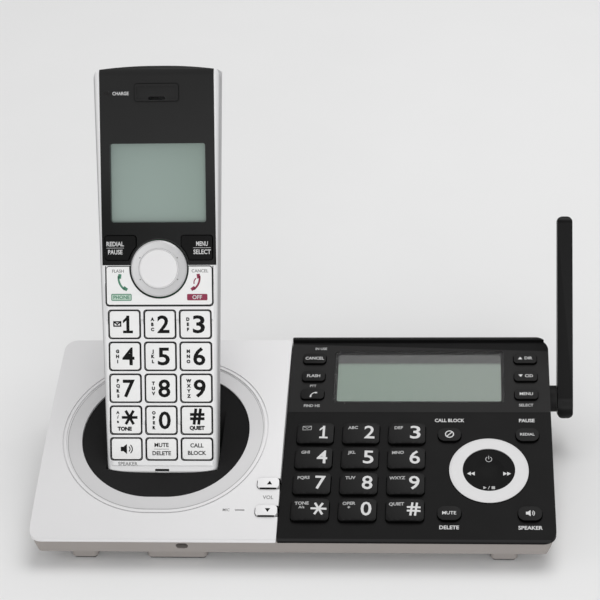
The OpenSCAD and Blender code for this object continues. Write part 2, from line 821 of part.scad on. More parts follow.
module base_tray() color("#a9a6a2") base_frame() difference() {
    union() {
        difference() {
            tray_body(tray_inset, foot_h);
            tray_body(tray_inset + wall, floor_z);
        }
        for (f = feet)
            translate([f[0], f[1], pad_t]) linear_extrude(foot_h - pad_t + eps)
                rounded(pill(f[2], foot_d, foot_r));
        for (s = screws)
            translate([s[0], s[1], foot_h + eps]) cylinder(r = screw_boss_r, h = tray_floor + screw_boss_h);
        for (x = [main_board_x0 + board_post_in, main_board_x1 - board_post_in],
             y = [main_board_back_y - board_post_in, main_board_front_y + board_post_in])
            translate([x, y, floor_z - eps]) cylinder(r = board_post_r, h = main_board_h + eps);
        translate([socket_x - socket_w / 2, main_board_back_y - socket_d, floor_z - eps])
            cube([socket_w, socket_d - board_gap, main_board_h + eps]);
    }
    for (s = screws) translate([s[0], s[1], 0]) cylinder(r = screw_r, h = foot_h + screw_depth);
    translate([latch_x, 0, parting_z - latch_h / 2 - latch_drop]) plate(-wall, 2 * wall)
        rounded(pill(latch_w, latch_h, latch_h / 2 - eps));
    translate([speaker_x, speaker_y, 0]) linear_extrude(far) intersection() {
        circle(r = speaker_out_r - grille_in);
        for (i = [-3 : 3]) translate([0, i * grille_pitch]) square([far, grille_slot], center = true);
    }
}

// Rubber pads under the tray's stand-offs
foot_pad_in = 0.8;
module base_feet() color("#3a3a3a") base_frame()
    for (f = feet)
        translate([f[0], f[1], 0]) linear_extrude(pad_t)
            rounded(pill(f[2], foot_d, foot_r), -foot_pad_in);

// Clear window over the display
module display_lens() color([0.8, 0.85, 0.82, 0.4])
    on_display(panel_mid_x, window_s) translate([0, 0, -lens_t]) linear_extrude(lens_t)
        rounded(pill(window_w + 2 * lens_lap, window_h + 2 * lens_lap, lens_r));

// Display module under the window
lcd_lap = 2.5;
module base_display() color("#b4bab4")
    on_display(panel_mid_x, window_s) translate([0, 0, -display_board_n]) {
        linear_extrude(lcd_t) rounded(pill(window_w + 2 * lcd_lap, window_h + 2 * lcd_lap, window_r));
        linear_extrude(display_board_n - lens_t - lens_gap)
            rounded(pill(window_w - 2 * lens_gap, window_h - 2 * lens_gap, window_r));
    }

// Circuit boards, line socket, power inlet and loudspeaker
keypad_board_front = 3;
keypad_board_back = 5.5;
display_board_end = 4;
board_r = 1.5;

module keypad_board()
    on_keypad(0, 0) translate([0, 0, -keypad_board_n - board_t]) linear_extrude(board_t)
        rounded(frame_corners(face_board_x0, face_board_x1, dial_s(0) - keypad_board_front,
            dial_s(3) + keypad_board_back, board_r, board_r));

module display_board()
    on_display(0, 0) translate([0, 0, -display_board_n - board_t]) linear_extrude(board_t)
        rounded(frame_corners(face_board_x0, face_board_x1, side_key_y(0) - display_board_end,
            side_key_y(2) + display_board_end, board_r, board_r));

module main_board() base_frame() {
    translate([main_board_x0, main_board_front_y, main_board_z])
        cube([main_board_x1 - main_board_x0, main_board_d, board_t]);
    difference() {
        union() {
            translate([socket_x - socket_w / 2 - socket_wall, block_back_y - socket_d - socket_wall,
                main_board_z + board_t - eps])
                cube([socket_w + 2 * socket_wall, socket_d + socket_wall, socket_h + 2 * socket_wall]);
            translate([inlet_x - inlet_block_w / 2, block_back_y - inlet_d - socket_wall,
                main_board_z + board_t - eps])
                cube([inlet_block_w, inlet_d + socket_wall, inlet_block_w]);
        }
        translate([socket_x - socket_w / 2, block_back_y - socket_d, socket_z - socket_h / 2])
            cube([socket_w, 2 * socket_d, socket_h]);
        translate([inlet_x, block_back_y + wall, inlet_z]) rotate([90, 0, 0])
            cylinder(r = inlet_r, h = inlet_d + wall);
    }
    translate([inlet_x, block_back_y, inlet_z]) rotate([90, 0, 0])
        cylinder(r = inlet_pin_r, h = inlet_d + socket_wall);
}

module loudspeaker()
    base_frame() translate([speaker_x, speaker_y, floor_z]) {
        cylinder(r = speaker_out_r, h = speaker_h / 3);
        cylinder(r1 = speaker_out_r * cone_wide, r2 = speaker_out_r * cone_narrow, h = speaker_h * 2 / 3);
        cylinder(r = speaker_out_r * magnet, h = speaker_h);
    }

module base_electronics() color("#2f6b45") {
    keypad_board();
    display_board();
    main_board();
    loudspeaker();
}

// Handset block: outline, side profile and rounded long edges, grown by a margin

edge_out = 0.35;
hs_half_low = hs_w_low / 2;
hs_half_top = hs_w_top / 2;

module handset_outline(grow) intersection() {
    rounded([
        [-hs_half_low + hs_low_r, hs_low_r, hs_low_r], [hs_half_low - hs_low_r, hs_low_r, hs_low_r],
        [hs_half_top - hs_top_r, hs_len - hs_top_r, hs_top_r],
        [-hs_half_top + hs_top_r, hs_len - hs_top_r, hs_top_r]
    ], grow);
    translate([0, hs_len - hs_arch_r - eps]) circle(r = hs_arch_r + grow, $fn = 2 * fine);
}

module handset_profile(grow) {
    front_r = max(hs_front_r + grow, inner_r);
    rounded([
        [front_r - grow, front_r - grow, front_r],
        [heel_flat, heel_r, heel_r + grow],
        [hs_t - hs_waist_r, hs_waist_z, hs_waist_r + grow],
        [hs_t - hs_top_back_r, hs_len - hs_top_back_r, hs_top_back_r + grow],
        [hs_top_front_r, hs_len - hs_top_front_r, hs_top_front_r + grow]
    ]);
}

// Part of the cross section that rounds the long edges on one side. It stands a little proud of the
// flat faces, so that it only takes off the edges.
module handset_section(grow) {
    half = hs_half_low + edge_out;
    reach = hs_w_top;
    rounded([
        [half - hs_edge_r, hs_edge_r - edge_out, hs_edge_r],
        [half - hs_draft - hs_back_r, hs_t - hs_back_r + edge_out, hs_back_r],
        [-reach, hs_t - hs_back_r + edge_out, hs_back_r],
        [-reach, hs_edge_r - edge_out, hs_edge_r]
    ], grow);
}

module handset_edges(grow)
    rotate([0, taper, 0]) translate([0, 0, -hs_t]) linear_extrude(hs_len + 2 * hs_t) handset_section(grow);

module handset_block(grow = 0) intersection() {
    plate(-hs_t, 2 * hs_t) handset_outline(grow);
    bar(-hs_w_top, hs_w_top) handset_profile(grow);
    handset_edges(grow);
    mirror([1, 0, 0]) handset_edges(grow);
}

module cradle_pocket(grow)
    handset_frame() intersection() {
        bar(-hs_w_top, hs_w_top) handset_profile(grow);
        plate(-hs_t, 2 * hs_t) handset_outline(grow);
        translate([-hs_w_top, -hs_t, -hs_t]) cube([2 * hs_w_top, 3 * hs_t, 2 * hs_t]);
    }

// Black bowl with the pocket that holds the handset
module cradle() color("#202022") difference() {
    union() {
        on_dish() {
            dish_revolve() polygon([[0, -bowl_depth - bowl_floor], [bowl_edge_r, -bowl_depth - bowl_floor],
                [bowl_edge_r, 0], [0, 0]]);
            dish_revolve() polygon([[0, -bowl_depth - bowl_floor],
                [bowl_r + bowl_flange, -bowl_depth - bowl_floor],
                [bowl_r + bowl_flange, -ring_under], [0, -ring_under]]);
        }
        cradle_pocket(pocket_gap + pocket_wall);
    }
    on_dish() translate([0, 0, bowl_sphere_r - bowl_depth]) {
        for (side = [-1, 1])
            translate([side * dish_stretch / 2, 0, 0]) sphere(r = bowl_sphere_r, $fn = 2 * fine);
        translate([-dish_stretch / 2, 0, 0]) rotate([0, 90, 0])
            cylinder(r = bowl_sphere_r, h = dish_stretch, $fn = 2 * fine);
    }
    cradle_pocket(pocket_gap);
}

// Antenna with its pivot barrel and pin
ant_edge_r = 0.36 * ant_w;
ant_end = 0.2;
pin_lap = 1;
module antenna() color("#232325") base_frame() {
    translate([0, pivot_y, pivot_z]) rotate([-ant_lean, 0, 0]) intersection() {
        bar(ant_x, ant_x + ant_w)
            rounded([[0, -ant_heel, barrel_r], [0, 0, barrel_r], [0, ant_len - ant_tip_d / 2, ant_tip_d / 2]]);
        translate([ant_x, 0, 0]) plate(-2 * barrel_r, 2 * barrel_r)
            rounded(frame_corners(0, ant_w, ant_end - ant_heel - barrel_r, ant_len - ant_end,
                ant_edge_r, ant_edge_r));
    }
    pivot_axis(pin_head_x, ant_x + pin_lap, pin_r);
    pivot_axis(pin_head_x, pin_head_x + pin_head_t, pin_r + pin_lap);
}

// Base keys

// Crowned key of a given width, depth and corner radius, with the flange that holds it
module cap(size, proud) {
    outline = pill(size[0], size[1], size[2]);
    intersection() {
        translate([0, 0, -key_seat - eps]) linear_extrude(key_seat + proud + eps) rounded(outline);
        translate([0, 0, proud - crown_r]) sphere(r = crown_r, $fn = fine);
    }
    translate([0, 0, -key_seat - flange_t]) linear_extrude(flange_t) rounded(outline, flange_w);
}

module dial_key(i)
    color("#2c2c2f") on_keypad(dial_x(i % 3), dial_s(floor(i / 3)))
        cap(dial_cap, dial_proud);

module side_key(k)
    color("#2c2c2f") on_display(side_key_x(k[1]), side_key_y(k[2])) cap(side_cap, side_key_proud);

module corner_key(k)
    color("#2c2c2f") on_keypad(corner_x(k[1]), k[2]) cap(corner_cap, corner_key_proud);

module vol_key(k)
    color("gainsboro") on_silver(vol_x, k[1]) {
        intersection() {
            translate([0, 0, -key_seat]) linear_extrude(key_seat + vol_proud)
                rounded(pill(vol_w, vol_h, dial_r - key_gap));
            translate([0, 0, vol_proud - crown_r]) sphere(r = crown_r, $fn = fine);
        }
        translate([0, 0, -key_seat - flange_t]) linear_extrude(flange_t + eps)
            rounded(frame_corners(-vol_w / 2 - flange_w, vol_w / 2 - wall, -vol_h / 2 - flange_w,
                vol_h / 2 + flange_w, dial_r, dial_r));
    }

// Silver ring and black disc that tilt as one
nav_bevel = 1;
nav_dish = 0.3;
module round_control() color("silver") on_keypad(nav_x, nav_y) {
    rotate_extrude($fn = fine) difference() {
        polygon([
            [0, -nav_under], [nav_out_r + flange_w, -nav_under],
            [nav_out_r + flange_w, -nav_seat], [nav_out_r, -nav_seat],
            [nav_out_r, nav_proud * 0.6], [nav_out_r - nav_bevel, nav_proud], [nav_in_r, nav_proud],
            [nav_in_r, nav_proud - nav_sink], [0, nav_proud - nav_sink]
        ]);
        translate([0, nav_proud - nav_sink + crown_r - nav_dish]) circle(r = crown_r, $fn = 2 * fine);
    }
}

// Handset

module call_plate_outline(grow) difference() {
    rounded(frame_corners(-call_w / 2, call_w / 2, call_z, call_top_z, hs_key_r, hs_key_r), grow);
    translate([0, pad_z]) circle(r = pad_r + 2 * hs_key_gap - grow);
}

module soft_key_outline(side, grow) difference() {
    translate([side * soft_x, soft_z]) rounded(pill(soft_w, soft_h, hs_key_r), grow);
    translate([0, pad_z]) circle(r = pad_r + 4 * hs_key_gap - grow);
}

module handset_key_outlines(grow) {
    for (column = [-1 : 1], row = [0 : 3])
        translate([column * hs_pitch_x, hs_dial_z + row * hs_pitch_z])
            rounded(pill(hs_key_w, hs_key_h, hs_key_r), grow);
    for (column = [-1 : 1])
        translate([column * hs_pitch_x, hs_low_z]) rounded(pill(hs_key_w, hs_low_key_h, hs_key_r), grow);
}

// Strip of the face between the rails, from one height up to another, grown by a margin
function rail_x(z) =
    let (low_x = hs_half_low - rail_w)
    z < fascia_z ? low_x + (fascia_w / 2 - low_x) * z / fascia_z : fascia_w / 2;
module face_strip(z0, z1, grow)
    polygon([
        [-rail_x(z0) - grow, z0 - grow], [rail_x(z0) + grow, z0 - grow],
        [rail_x(z1) + grow, z1 + grow], [-rail_x(z1) - grow, z1 + grow]
    ]);

// Skin of the block over that strip, with the block's own curves
module fascia_skin(grow) difference() {
    plate(-hs_t, fascia_wrap + grow) face_strip(fascia_z, hs_len + hs_t, grow);
    handset_block(-fascia_t);
}

// Fine grooves that mark off the face between the rails
module face_grooves() {
    difference() {
        face_strip(-hs_t, fascia_z, groove_w / 2);
        face_strip(-hs_t, fascia_z, -groove_w / 2);
        translate([-hs_w_top, fascia_z - groove_w]) square([2 * hs_w_top, hs_t]);
    }
}

module face_openings() {
    handset_key_outlines(hs_key_gap);
    call_plate_outline(hs_key_gap);
    translate([0, pad_z]) circle(r = pad_r + hs_key_gap);
    for (k = soft_keys) soft_key_outline(k[1], hs_key_gap);
    translate([0, hs_lcd_z]) rounded(pill(hs_lcd_w, hs_lcd_h, window_r));
    translate([0, ear_z]) rounded(pill(ear_w, ear_h, ear_h / 2 - eps));
}

// Silver front shell with the key openings
post_inset = 1.5;
hs_posts = concat(
    [for (x = [-0.5, 0.5], row = [0.5, 2.5]) [x * hs_pitch_x, hs_dial_z + row * hs_pitch_z]],
    [for (side = [-1, 1]) [side * (hs_board_w / 2 - post_inset), hs_lcd_z + hs_lcd_h / 2 + 3 * post_inset]]
);
hs_post_r = 0.9;
mic_notch_w = 6;
mic_notch_h = 1;
mic_notch_d = 1;

module handset_front() color("gainsboro") handset_frame() difference() {
    intersection() {
        union() {
            difference() {
                handset_block();
                handset_block(-hs_wall);
            }
            for (p = hs_posts) translate([p[0], hs_wall / 2, p[1]]) rotate([-90, 0, 0])
                cylinder(r = hs_post_r, h = hs_board_y - hs_wall / 2);
        }
        translate([-far, -far, -far]) cube([2 * far, far + hs_part_y, 2 * far]);
    }
    plate(-hs_t, hs_wall * 1.5) face_openings();
    fascia_skin(fascia_gap);
    plate(-hs_t, groove_w) face_grooves();
    translate([-mic_notch_w / 2, -mic_notch_d, -mic_notch_h])
        cube([mic_notch_w, 2 * mic_notch_d, 2 * mic_notch_h]);
}

// Black fascia round the handset's display
ear_frame_proud = 0.4;
ear_frame_r = 1.2;
ear_frame_line = 0.8;

module handset_fascia() color("#1d1d1f") handset_frame() {
    difference() {
        intersection() {
            handset_block();
            fascia_skin(0);
        }
        plate(-hs_t, hs_t) {
            translate([0, pad_z]) circle(r = pad_r + 2 * hs_key_gap);
            for (k = soft_keys) soft_key_outline(k[1], hs_key_gap);
            translate([0, hs_lcd_z]) rounded(pill(hs_lcd_w, hs_lcd_h, window_r));
            translate([0, ear_z]) rounded(pill(ear_w, ear_h, ear_h / 2 - eps));
        }
    }
    plate(-ear_frame_proud, fascia_t / 2) translate([0, ear_frame_z]) difference() {
        rounded(pill(ear_frame_w, ear_frame_h, ear_frame_r));
        rounded(pill(ear_frame_w, ear_frame_h, ear_frame_r), -ear_frame_line);
        translate([0, ear_z - ear_frame_z]) rounded(pill(ear_w, ear_h, ear_h / 2 - eps));
    }
}

// Prism of the battery door's opening, slanted at its lower edge, grown by a margin
module door_prism(grow) {
    slip = hs_t / tan(door_slant);
    door_low = door_z - grow / sin(door_slant);
    bar(-door_w / 2 - grow, door_w / 2 + grow)
        polygon([
            [hs_part_y, door_low + slip - hs_part_y / tan(door_slant)],
            [2 * hs_t, door_low - slip],
            [2 * hs_t, door_top_z + grow], [hs_part_y, door_top_z + grow]
        ]);
}

// Back shell with the battery compartment
module handset_back() color("#c9c9c9") handset_frame() difference() {
    union() {
        intersection() {
            difference() {
                handset_block();
                handset_block(-hs_wall);
            }
            translate([-far, hs_part_y, -far]) cube([2 * far, far, 2 * far]);
        }
        intersection() {
            handset_block(-hs_wall / 2);
            difference() {
                union() {
                    translate([-hs_w_top, hs_part_y, cell_z - bay_wall])
                        cube([2 * hs_w_top, bay_floor, cell_len + 2 * bay_wall]);
                    translate([-bay_w / 2 - bay_wall, hs_part_y, cell_z - bay_wall])
                        cube([bay_w + 2 * bay_wall, 2 * cell_r, cell_len + 2 * bay_wall]);
                }
                translate([-bay_w / 2, tray_wall_y, cell_z - bay_gap])
                    cube([bay_w, hs_t, cell_len + 2 * bay_gap]);
            }
        }
    }
    door_prism(door_gap);
}

// Rechargeable pack of two cells
module battery_pack() color("#4a7ab0") handset_frame()
    translate([0, tray_wall_y + cell_r, cell_z]) {
        for (side = [-1, 1]) translate([side * cell_r, 0, 0]) cylinder(r = cell_r, h = cell_len);
        translate([-cell_r, -cell_r, 0]) cube([2 * cell_r, 2 * cell_r, cell_len]);
    }

// Door over the battery compartment, with grip ribs
rib_depth = 0.5;
rib_first = 22;
rib_pitch = 2.4;
rib_w = 1.1;

module battery_door() color("#c9c9c9") handset_frame() difference() {
    intersection() {
        difference() {
            handset_block();
            handset_block(-hs_wall);
        }
        door_prism(0);
    }
    for (i = [0 : 4])
        translate([-grip_w / 2, hs_t - rib_depth, door_top_z - rib_first + i * rib_pitch])
            cube([grip_w, 2, rib_w]);
}

// Display of the handset
hs_lcd_lap = 1;
module handset_display() color("#b4bab4") handset_frame()
    plate(hs_wall, hs_board_y) translate([0, hs_lcd_z])
        rounded(pill(hs_lcd_w + 2 * hs_lcd_lap, hs_lcd_h + 2 * hs_lcd_lap, window_r));

// Circuit board of the handset
module handset_board() color("#2f6b45") handset_frame()
    plate(hs_board_y, hs_board_y + board_t)
        rounded(frame_corners(-hs_board_w / 2, hs_board_w / 2, hs_board_low, hs_board_top,
            board_r, board_r));

// Keys of the handset

// Flange under a key, kept clear of the shell's side walls
flange_hold = 0.2;
flange_lap = hs_key_gap + flange_hold;
function inner_x(z) = hs_half_low - hs_wall - hs_key_gap + z * tan(taper);
module face_flange()
    plate(hs_key_seat - eps, hs_key_seat + hs_flange_t - eps) intersection() {
        children();
        polygon([[-inner_x(0), 0], [inner_x(0), 0], [inner_x(hs_len), hs_len], [-inner_x(hs_len), hs_len]]);
    }

module handset_key(column, z, h) color("whitesmoke") handset_frame() {
    translate([column * hs_pitch_x, 0, z]) intersection() {
        plate(-hs_key_proud, hs_key_seat) rounded(pill(hs_key_w, h, hs_key_r));
        translate([0, crown_r - hs_key_proud, 0]) sphere(r = crown_r, $fn = fine);
    }
    face_flange() translate([column * hs_pitch_x, z]) rounded(pill(hs_key_w, h, hs_key_r), flange_lap);
}

module handset_call_plate() color("whitesmoke") handset_frame()
    plate(-hs_key_proud, hs_wall + hs_key_gap) call_plate_outline(0);

module handset_soft_key(side) color("#232325") handset_frame() {
    plate(-hs_key_proud, hs_key_seat) soft_key_outline(side, 0);
    face_flange() soft_key_outline(side, flange_lap);
}

// Tilting navigation pad with a sunken ring round its middle
pad_bevel = 0.6;
pad_groove = 0.2;
module handset_nav_pad() color("gainsboro") handset_frame() translate([0, 0, pad_z]) rotate([90, 0, 0])
    rotate_extrude($fn = fine) polygon([
        [0, -hs_key_seat], [pad_r, -hs_key_seat], [pad_r, hs_key_proud],
        [pad_r - pad_bevel, 2 * hs_key_proud],
        [pad_mid_r + 2 * pad_groove, 1.6 * hs_key_proud], [pad_mid_r + pad_groove, hs_key_proud],
        [pad_mid_r - pad_groove, hs_key_proud], [pad_mid_r - 2 * pad_groove, 2 * hs_key_proud],
        [0, 2 * hs_key_proud]
    ]);

base_tray();
base_feet();
silver_housing();
control_panel();
display_lens();
base_display();
cradle();
base_electronics();
antenna();
round_control();
for (i = [0 : 11]) dial_key(i);
for (k = side_keys) side_key(k);
for (k = corner_keys) corner_key(k);
for (k = vol_keys) vol_key(k);
handset_front();
handset_fascia();
handset_back();
handset_display();
handset_board();
battery_pack();
battery_door();
handset_call_plate();
handset_nav_pad();
for (k = soft_keys) handset_soft_key(k[1]);
for (i = [0 : 11])
    handset_key(i % 3 - 1, hs_dial_z + floor(i / 3) * hs_pitch_z, hs_key_h);
for (i = [0 : 2]) handset_key(i - 1, hs_low_z, hs_low_key_h);
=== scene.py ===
import math

import bmesh
import bpy
from mathutils import Matrix, Vector


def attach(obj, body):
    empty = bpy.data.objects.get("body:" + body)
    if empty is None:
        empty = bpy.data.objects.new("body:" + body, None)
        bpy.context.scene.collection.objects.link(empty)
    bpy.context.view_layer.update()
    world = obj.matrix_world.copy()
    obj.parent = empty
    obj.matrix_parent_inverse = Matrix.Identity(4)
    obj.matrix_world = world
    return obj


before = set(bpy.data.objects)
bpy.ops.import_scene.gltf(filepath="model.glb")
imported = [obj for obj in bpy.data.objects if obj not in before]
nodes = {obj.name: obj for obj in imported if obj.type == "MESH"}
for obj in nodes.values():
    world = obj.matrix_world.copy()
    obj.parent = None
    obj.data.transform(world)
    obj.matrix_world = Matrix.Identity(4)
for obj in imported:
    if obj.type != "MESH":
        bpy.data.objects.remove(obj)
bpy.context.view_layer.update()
scene = bpy.context.scene

# Sizes of the base in millimetres, measured from its left front corner

MM = 0.001
OVERALL_W = 225.7
BASE_W = 215.4
BASE_D = 102.0
SPLIT_X = 102.2
SPLIT_GAP = 0.2
PANEL_X = SPLIT_X + SPLIT_GAP
PARTING_Z = 11.3
LIP_R = 1.5
LIP_RISE = 1.5
LIP_Z = PARTING_Z + LIP_RISE
KEYPAD_SLOPE = math.radians(14)
DISPLAY_SLOPE = math.radians(18)
CREASE_Y = 64.4
CREASE_Z = LIP_Z + (CREASE_Y - LIP_R) * math.tan(KEYPAD_SLOPE)
DISPLAY_LEN = (BASE_D - CREASE_Y) / math.cos(DISPLAY_SLOPE)

# Arc of the silver top, seen from the side
ARC_FRONT = math.radians(20)
ARC_BACK = math.radians(10.8)
ARC_R = (BASE_D - LIP_R) / (math.sin(ARC_FRONT) - math.sin(ARC_BACK))
ARC_Y = LIP_R + ARC_R * math.sin(ARC_FRONT)
ARC_Z = LIP_Z - ARC_R * math.cos(ARC_FRONT)

# Dish of the cradle: two half rounds with a short straight piece between them
DISH = Vector((51.2, 50.8))
DISH_HALF = 3.5
RING_FACE_R = 38.2

# Keys and window of the panel, along its two faces
DIAL_NAMES = ["star", "0", "hash", "7", "8", "9", "4", "5", "6", "1", "2", "3"]
DIAL_LEFT = 12.7
DIAL_FIRST = 13.2
DIAL_PITCH_X = 19.5
DIAL_PITCH_S = 13.2
DIAL_X = [PANEL_X + DIAL_LEFT + DIAL_PITCH_X * column for column in range(3)]
DIAL_S = [DIAL_FIRST + DIAL_PITCH_S * line for line in range(4)]
DIAL_PROUD = 1.7
NAV = Vector((BASE_W - 26.8, 34.1))
NAV_DISC_R = 10.9
NAV_FLOOR = 0.4
NAV_DISH = 0.3
SIDE_INSET = 10.25
SIDE_FIRST = 9.3
SIDE_PITCH = 9.55
SIDE_X = {"left": PANEL_X + SIDE_INSET, "right": BASE_W - SIDE_INSET}
SIDE_S = [SIDE_FIRST + SIDE_PITCH * place for place in range(3)]
CORNER_X = 16.43
CORNER_BACK_S = 52.4
CORNER_FRONT_S = 11.9
KEY_PROUD = 1.2
WINDOW_X = (SPLIT_X + BASE_W) / 2
WINDOW_S = 19.1
WINDOW_H = 25.0

# Volume keys on the silver top
VOL_W = 9.0
VOL_H = 4.8
VOL_GAP = 0.3
VOL_X = SPLIT_X - SPLIT_GAP - VOL_W / 2 - VOL_GAP
VOL_UP_Y = 25.6
VOL_DOWN_Y = 13.1
VOL_PROUD = 0.9
MIC_X = SPLIT_X - 16.0
MIC_Y = VOL_DOWN_Y + 0.5

# Sizes of the handset: x from its middle, y into its face, z up from its lower end
LEAN = math.radians(29.5)
SEAT = Vector((51.2, 34.5, PARTING_Z + 7.8))
HEAD_Y = 14
HEAD_Z = 159
HEAD_R = 12
OVERALL_D = SEAT.y + HEAD_Y * math.cos(LEAN) + HEAD_Z * math.sin(LEAN) + HEAD_R
HS_PITCH_X = 15.0
HS_PITCH_Z = 13.5
HS_FIRST_Z = 22.6
HS_LOW_Z = 10.4
HS_KEY_X = [HS_PITCH_X * column for column in (-1, 0, 1)]
HS_ROW_Z = [HS_FIRST_Z + HS_PITCH_Z * line for line in range(4)]
HS_PROUD = 0.6
HS_KEY_W = 12.4
HS_KEY_H = 11.1
HS_LOW_KEY_H = 8.6
EAR_Z = 159.7
EAR_W = 18.2
EAR_H = 7.0
FASCIA_Z = 88.0
PAD_Z = 86.5
PAD_PROUD = 1.0
PAD_MID_R = 8.2
SOFT_LABEL_X = 18.3
SOFT_Z = 95.15
PLATE_X = 22.65
PLATE_R = 1.3
PLATE_LOW = 70.8
PLATE_TOP = 87.4
LAMP_X = -20.9
CHARGE_Z = 159.4

# The silver face of the handset stands proud in two bands, and widens upward beside its keys
FACE_RISE = 0.35
FACE_BANDS = ((3.07, 20.93), (64.8, 79.2))
BAND_MARGIN = 1.1
FACE_TAPER = 0.0145
KEYS_SIDE = 21.55

# Contacts, screws and socket
HEEL_Y = 4.6
CONTACT_X = 9.0
POCKET_GAP = 0.45
SUNK = 0.3
SCREW_X = 14.0
SCREW_Y = 24.0
SCREW_Z = 6.7
SCREW_R = 2.6
SCREW_HEAD = 0.9
SLOT_LEN = 2.8
SLOT_W = 0.55
SOCKET_X = 174.2
SOCKET_TOP = 20.8
WIRE_COUNT = 4
WIRE_PITCH = 1.02
WIRE_W = 0.4
WIRE_T = 0.3
WIRE_LEN = 5.0
WIRE_DEPTH = 11.0
WIRE_DROP = 2.2
MAIN_BOARD_TOP = 12.2
BLOCK_LOW = 0.1
BLOCK_TOP = 14.0
BLOCK_DEPTH = 16.0

# How far print lies over a surface, and the radius of the domed keys and the dished disc
LIFT = 0.035
CROWN_R = 70.0

X_AXIS = Vector((1, 0, 0))
KEYPAD_UP = Vector((0, -math.sin(KEYPAD_SLOPE), math.cos(KEYPAD_SLOPE)))
KEYPAD_ALONG = Vector((0, math.cos(KEYPAD_SLOPE), math.sin(KEYPAD_SLOPE)))
DISPLAY_UP = Vector((0, -math.sin(DISPLAY_SLOPE), math.cos(DISPLAY_SLOPE)))
DISPLAY_ALONG = Vector((0, math.cos(DISPLAY_SLOPE), math.sin(DISPLAY_SLOPE)))
INTO_FACE = Vector((0, math.cos(LEAN), -math.sin(LEAN)))
UP_FACE = Vector((0, math.sin(LEAN), math.cos(LEAN)))


# Surfaces: each turns its own millimetres into a point of the frame

def row(x, y, z):
    return Vector((x - OVERALL_W / 2, y - OVERALL_D / 2, z)) * MM


def keypad(x, s, n=0.0):
    c, k = math.cos(KEYPAD_SLOPE), math.sin(KEYPAD_SLOPE)
    return row(x, LIP_R + s * c - n * k, LIP_Z + s * k + n * c)


def display(x, s, n=0.0):
    c, k = math.cos(DISPLAY_SLOPE), math.sin(DISPLAY_SLOPE)
    return row(x, CREASE_Y + s * c - n * k, CREASE_Z + s * k + n * c)


def silver_angle(y):
    return math.asin((ARC_Y - y) / ARC_R)


def silver(x, y, n=0.0):
    a = silver_angle(y)
    return row(x, ARC_Y - (ARC_R + n) * math.sin(a), ARC_Z + (ARC_R + n) * math.cos(a))


def handset(x, y, z):
    c, k = math.cos(LEAN), math.sin(LEAN)
    return row(SEAT.x + x, SEAT.y + y * c + z * k, SEAT.z - y * k + z * c)


# Places where print lies: each turns flat coordinates round a middle into a point

def crown(u, v, proud):
    return proud - CROWN_R + math.sqrt(CROWN_R * CROWN_R - u * u - v * v) + LIFT


def flat_on(surface):
    return lambda u, v: surface(u, v, LIFT)


def crowned_on(surface, x, s, proud):
    return lambda u, v: surface(x + u, s + v, crown(u, v, proud))


def on_face(x, z, proud=0.0):
    return lambda u, v: handset(x + u, -proud - LIFT, z + v)


def face_rise(z):
    raised = any(low - BAND_MARGIN < z < high + BAND_MARGIN for low, high in FACE_BANDS)
    return FACE_RISE if raised else 0.0


def on_front(u, v):
    """On the silver face of the handset, which stands a little proud in two bands."""
    return handset(u, -face_rise(v) - LIFT, v)


def on_face_key(x, z):
    return lambda u, v: handset(x + u, -crown(u, v, HS_PROUD), z + v)


def on_disc(u, v):
    """On the dished disc of the round control."""
    dish = CROWN_R - math.sqrt(CROWN_R * CROWN_R - u * u - v * v)
    return keypad(NAV.x + u, NAV.y + v, NAV_FLOOR - NAV_DISH + min(dish, NAV_DISH) + LIFT)


# Flat shapes: lists of points and faces

# How much letters are thickened, as a share of their size
PLAIN = 0.012
MEDIUM = 0.02
STRONG = 0.025
SMALL = 0.03
TINY = 0.06
STACKED = 0.07

text_cache = {}


def raw_text(text, bold):
    """Points and faces of words in the plain typeface, kept for the next time they are needed."""
    if (text, bold) not in text_cache:
        curve = bpy.data.curves.new("words", "FONT")
        curve.body = text
        curve.size = 1.0
        curve.offset = bold
        curve.resolution_u = 3
        curve.fill_mode = "FRONT"
        holder = bpy.data.objects.new("words", curve)
        mesh = bpy.data.meshes.new_from_object(holder)
        points = [(v.co.x, v.co.y) for v in mesh.vertices]
        faces = [tuple(p.vertices) for p in mesh.polygons]
        bpy.data.objects.remove(holder)
        bpy.data.curves.remove(curve)
        bpy.data.meshes.remove(mesh)
        text_cache[(text, bold)] = (points, faces)
    return text_cache[(text, bold)]


def words(text, height, x=0.0, y=0.0, bold=PLAIN, width=None):
    """Words of a given cap height round a middle, drawn to a given width if there is one."""
    cap = [p[1] for p in raw_text("H", bold)[0]]
    scale = height / (max(cap) - min(cap))
    points, faces = raw_text(text, bold)
    left = min(p[0] for p in points)
    right = max(p[0] for p in points)
    across = width / (right - left) if width else scale
    middle = (left + right) / 2
    base = (max(cap) + min(cap)) / 2
    moved = [((p[0] - middle) * across + x, (p[1] - base) * scale + y) for p in points]
    return moved, faces


def stacked(text, height, pitch, x, y, bold):
    """Letters one under the other round a middle."""
    top = y + pitch * (len(text) - 1) / 2
    return [words(letter, height, x, top - pitch * i, bold) for i, letter in enumerate(text)]


def polygon(*points):
    return list(points), [tuple(range(len(points)))]


def rectangle(w, h, x=0.0, y=0.0):
    left, right, low, high = x - w / 2, x + w / 2, y - h / 2, y + h / 2
    return polygon((left, low), (right, low), (right, high), (left, high))


def stroke(points, width):
    """Line of a given width through points, with square ends."""
    verts, faces = [], []
    for a, b in zip(points, points[1:]):
        dx, dy = b[0] - a[0], b[1] - a[1]
        length = math.hypot(dx, dy)
        ex, ey = dx / length * width / 2, dy / length * width / 2
        n = len(verts)
        verts += [(a[0] - ex + ey, a[1] - ey - ex), (b[0] + ex + ey, b[1] + ey - ex),
                  (b[0] + ex - ey, b[1] + ey + ex), (a[0] - ex - ey, a[1] - ey + ex)]
        faces.append((n, n + 1, n + 2, n + 3))
    return verts, faces


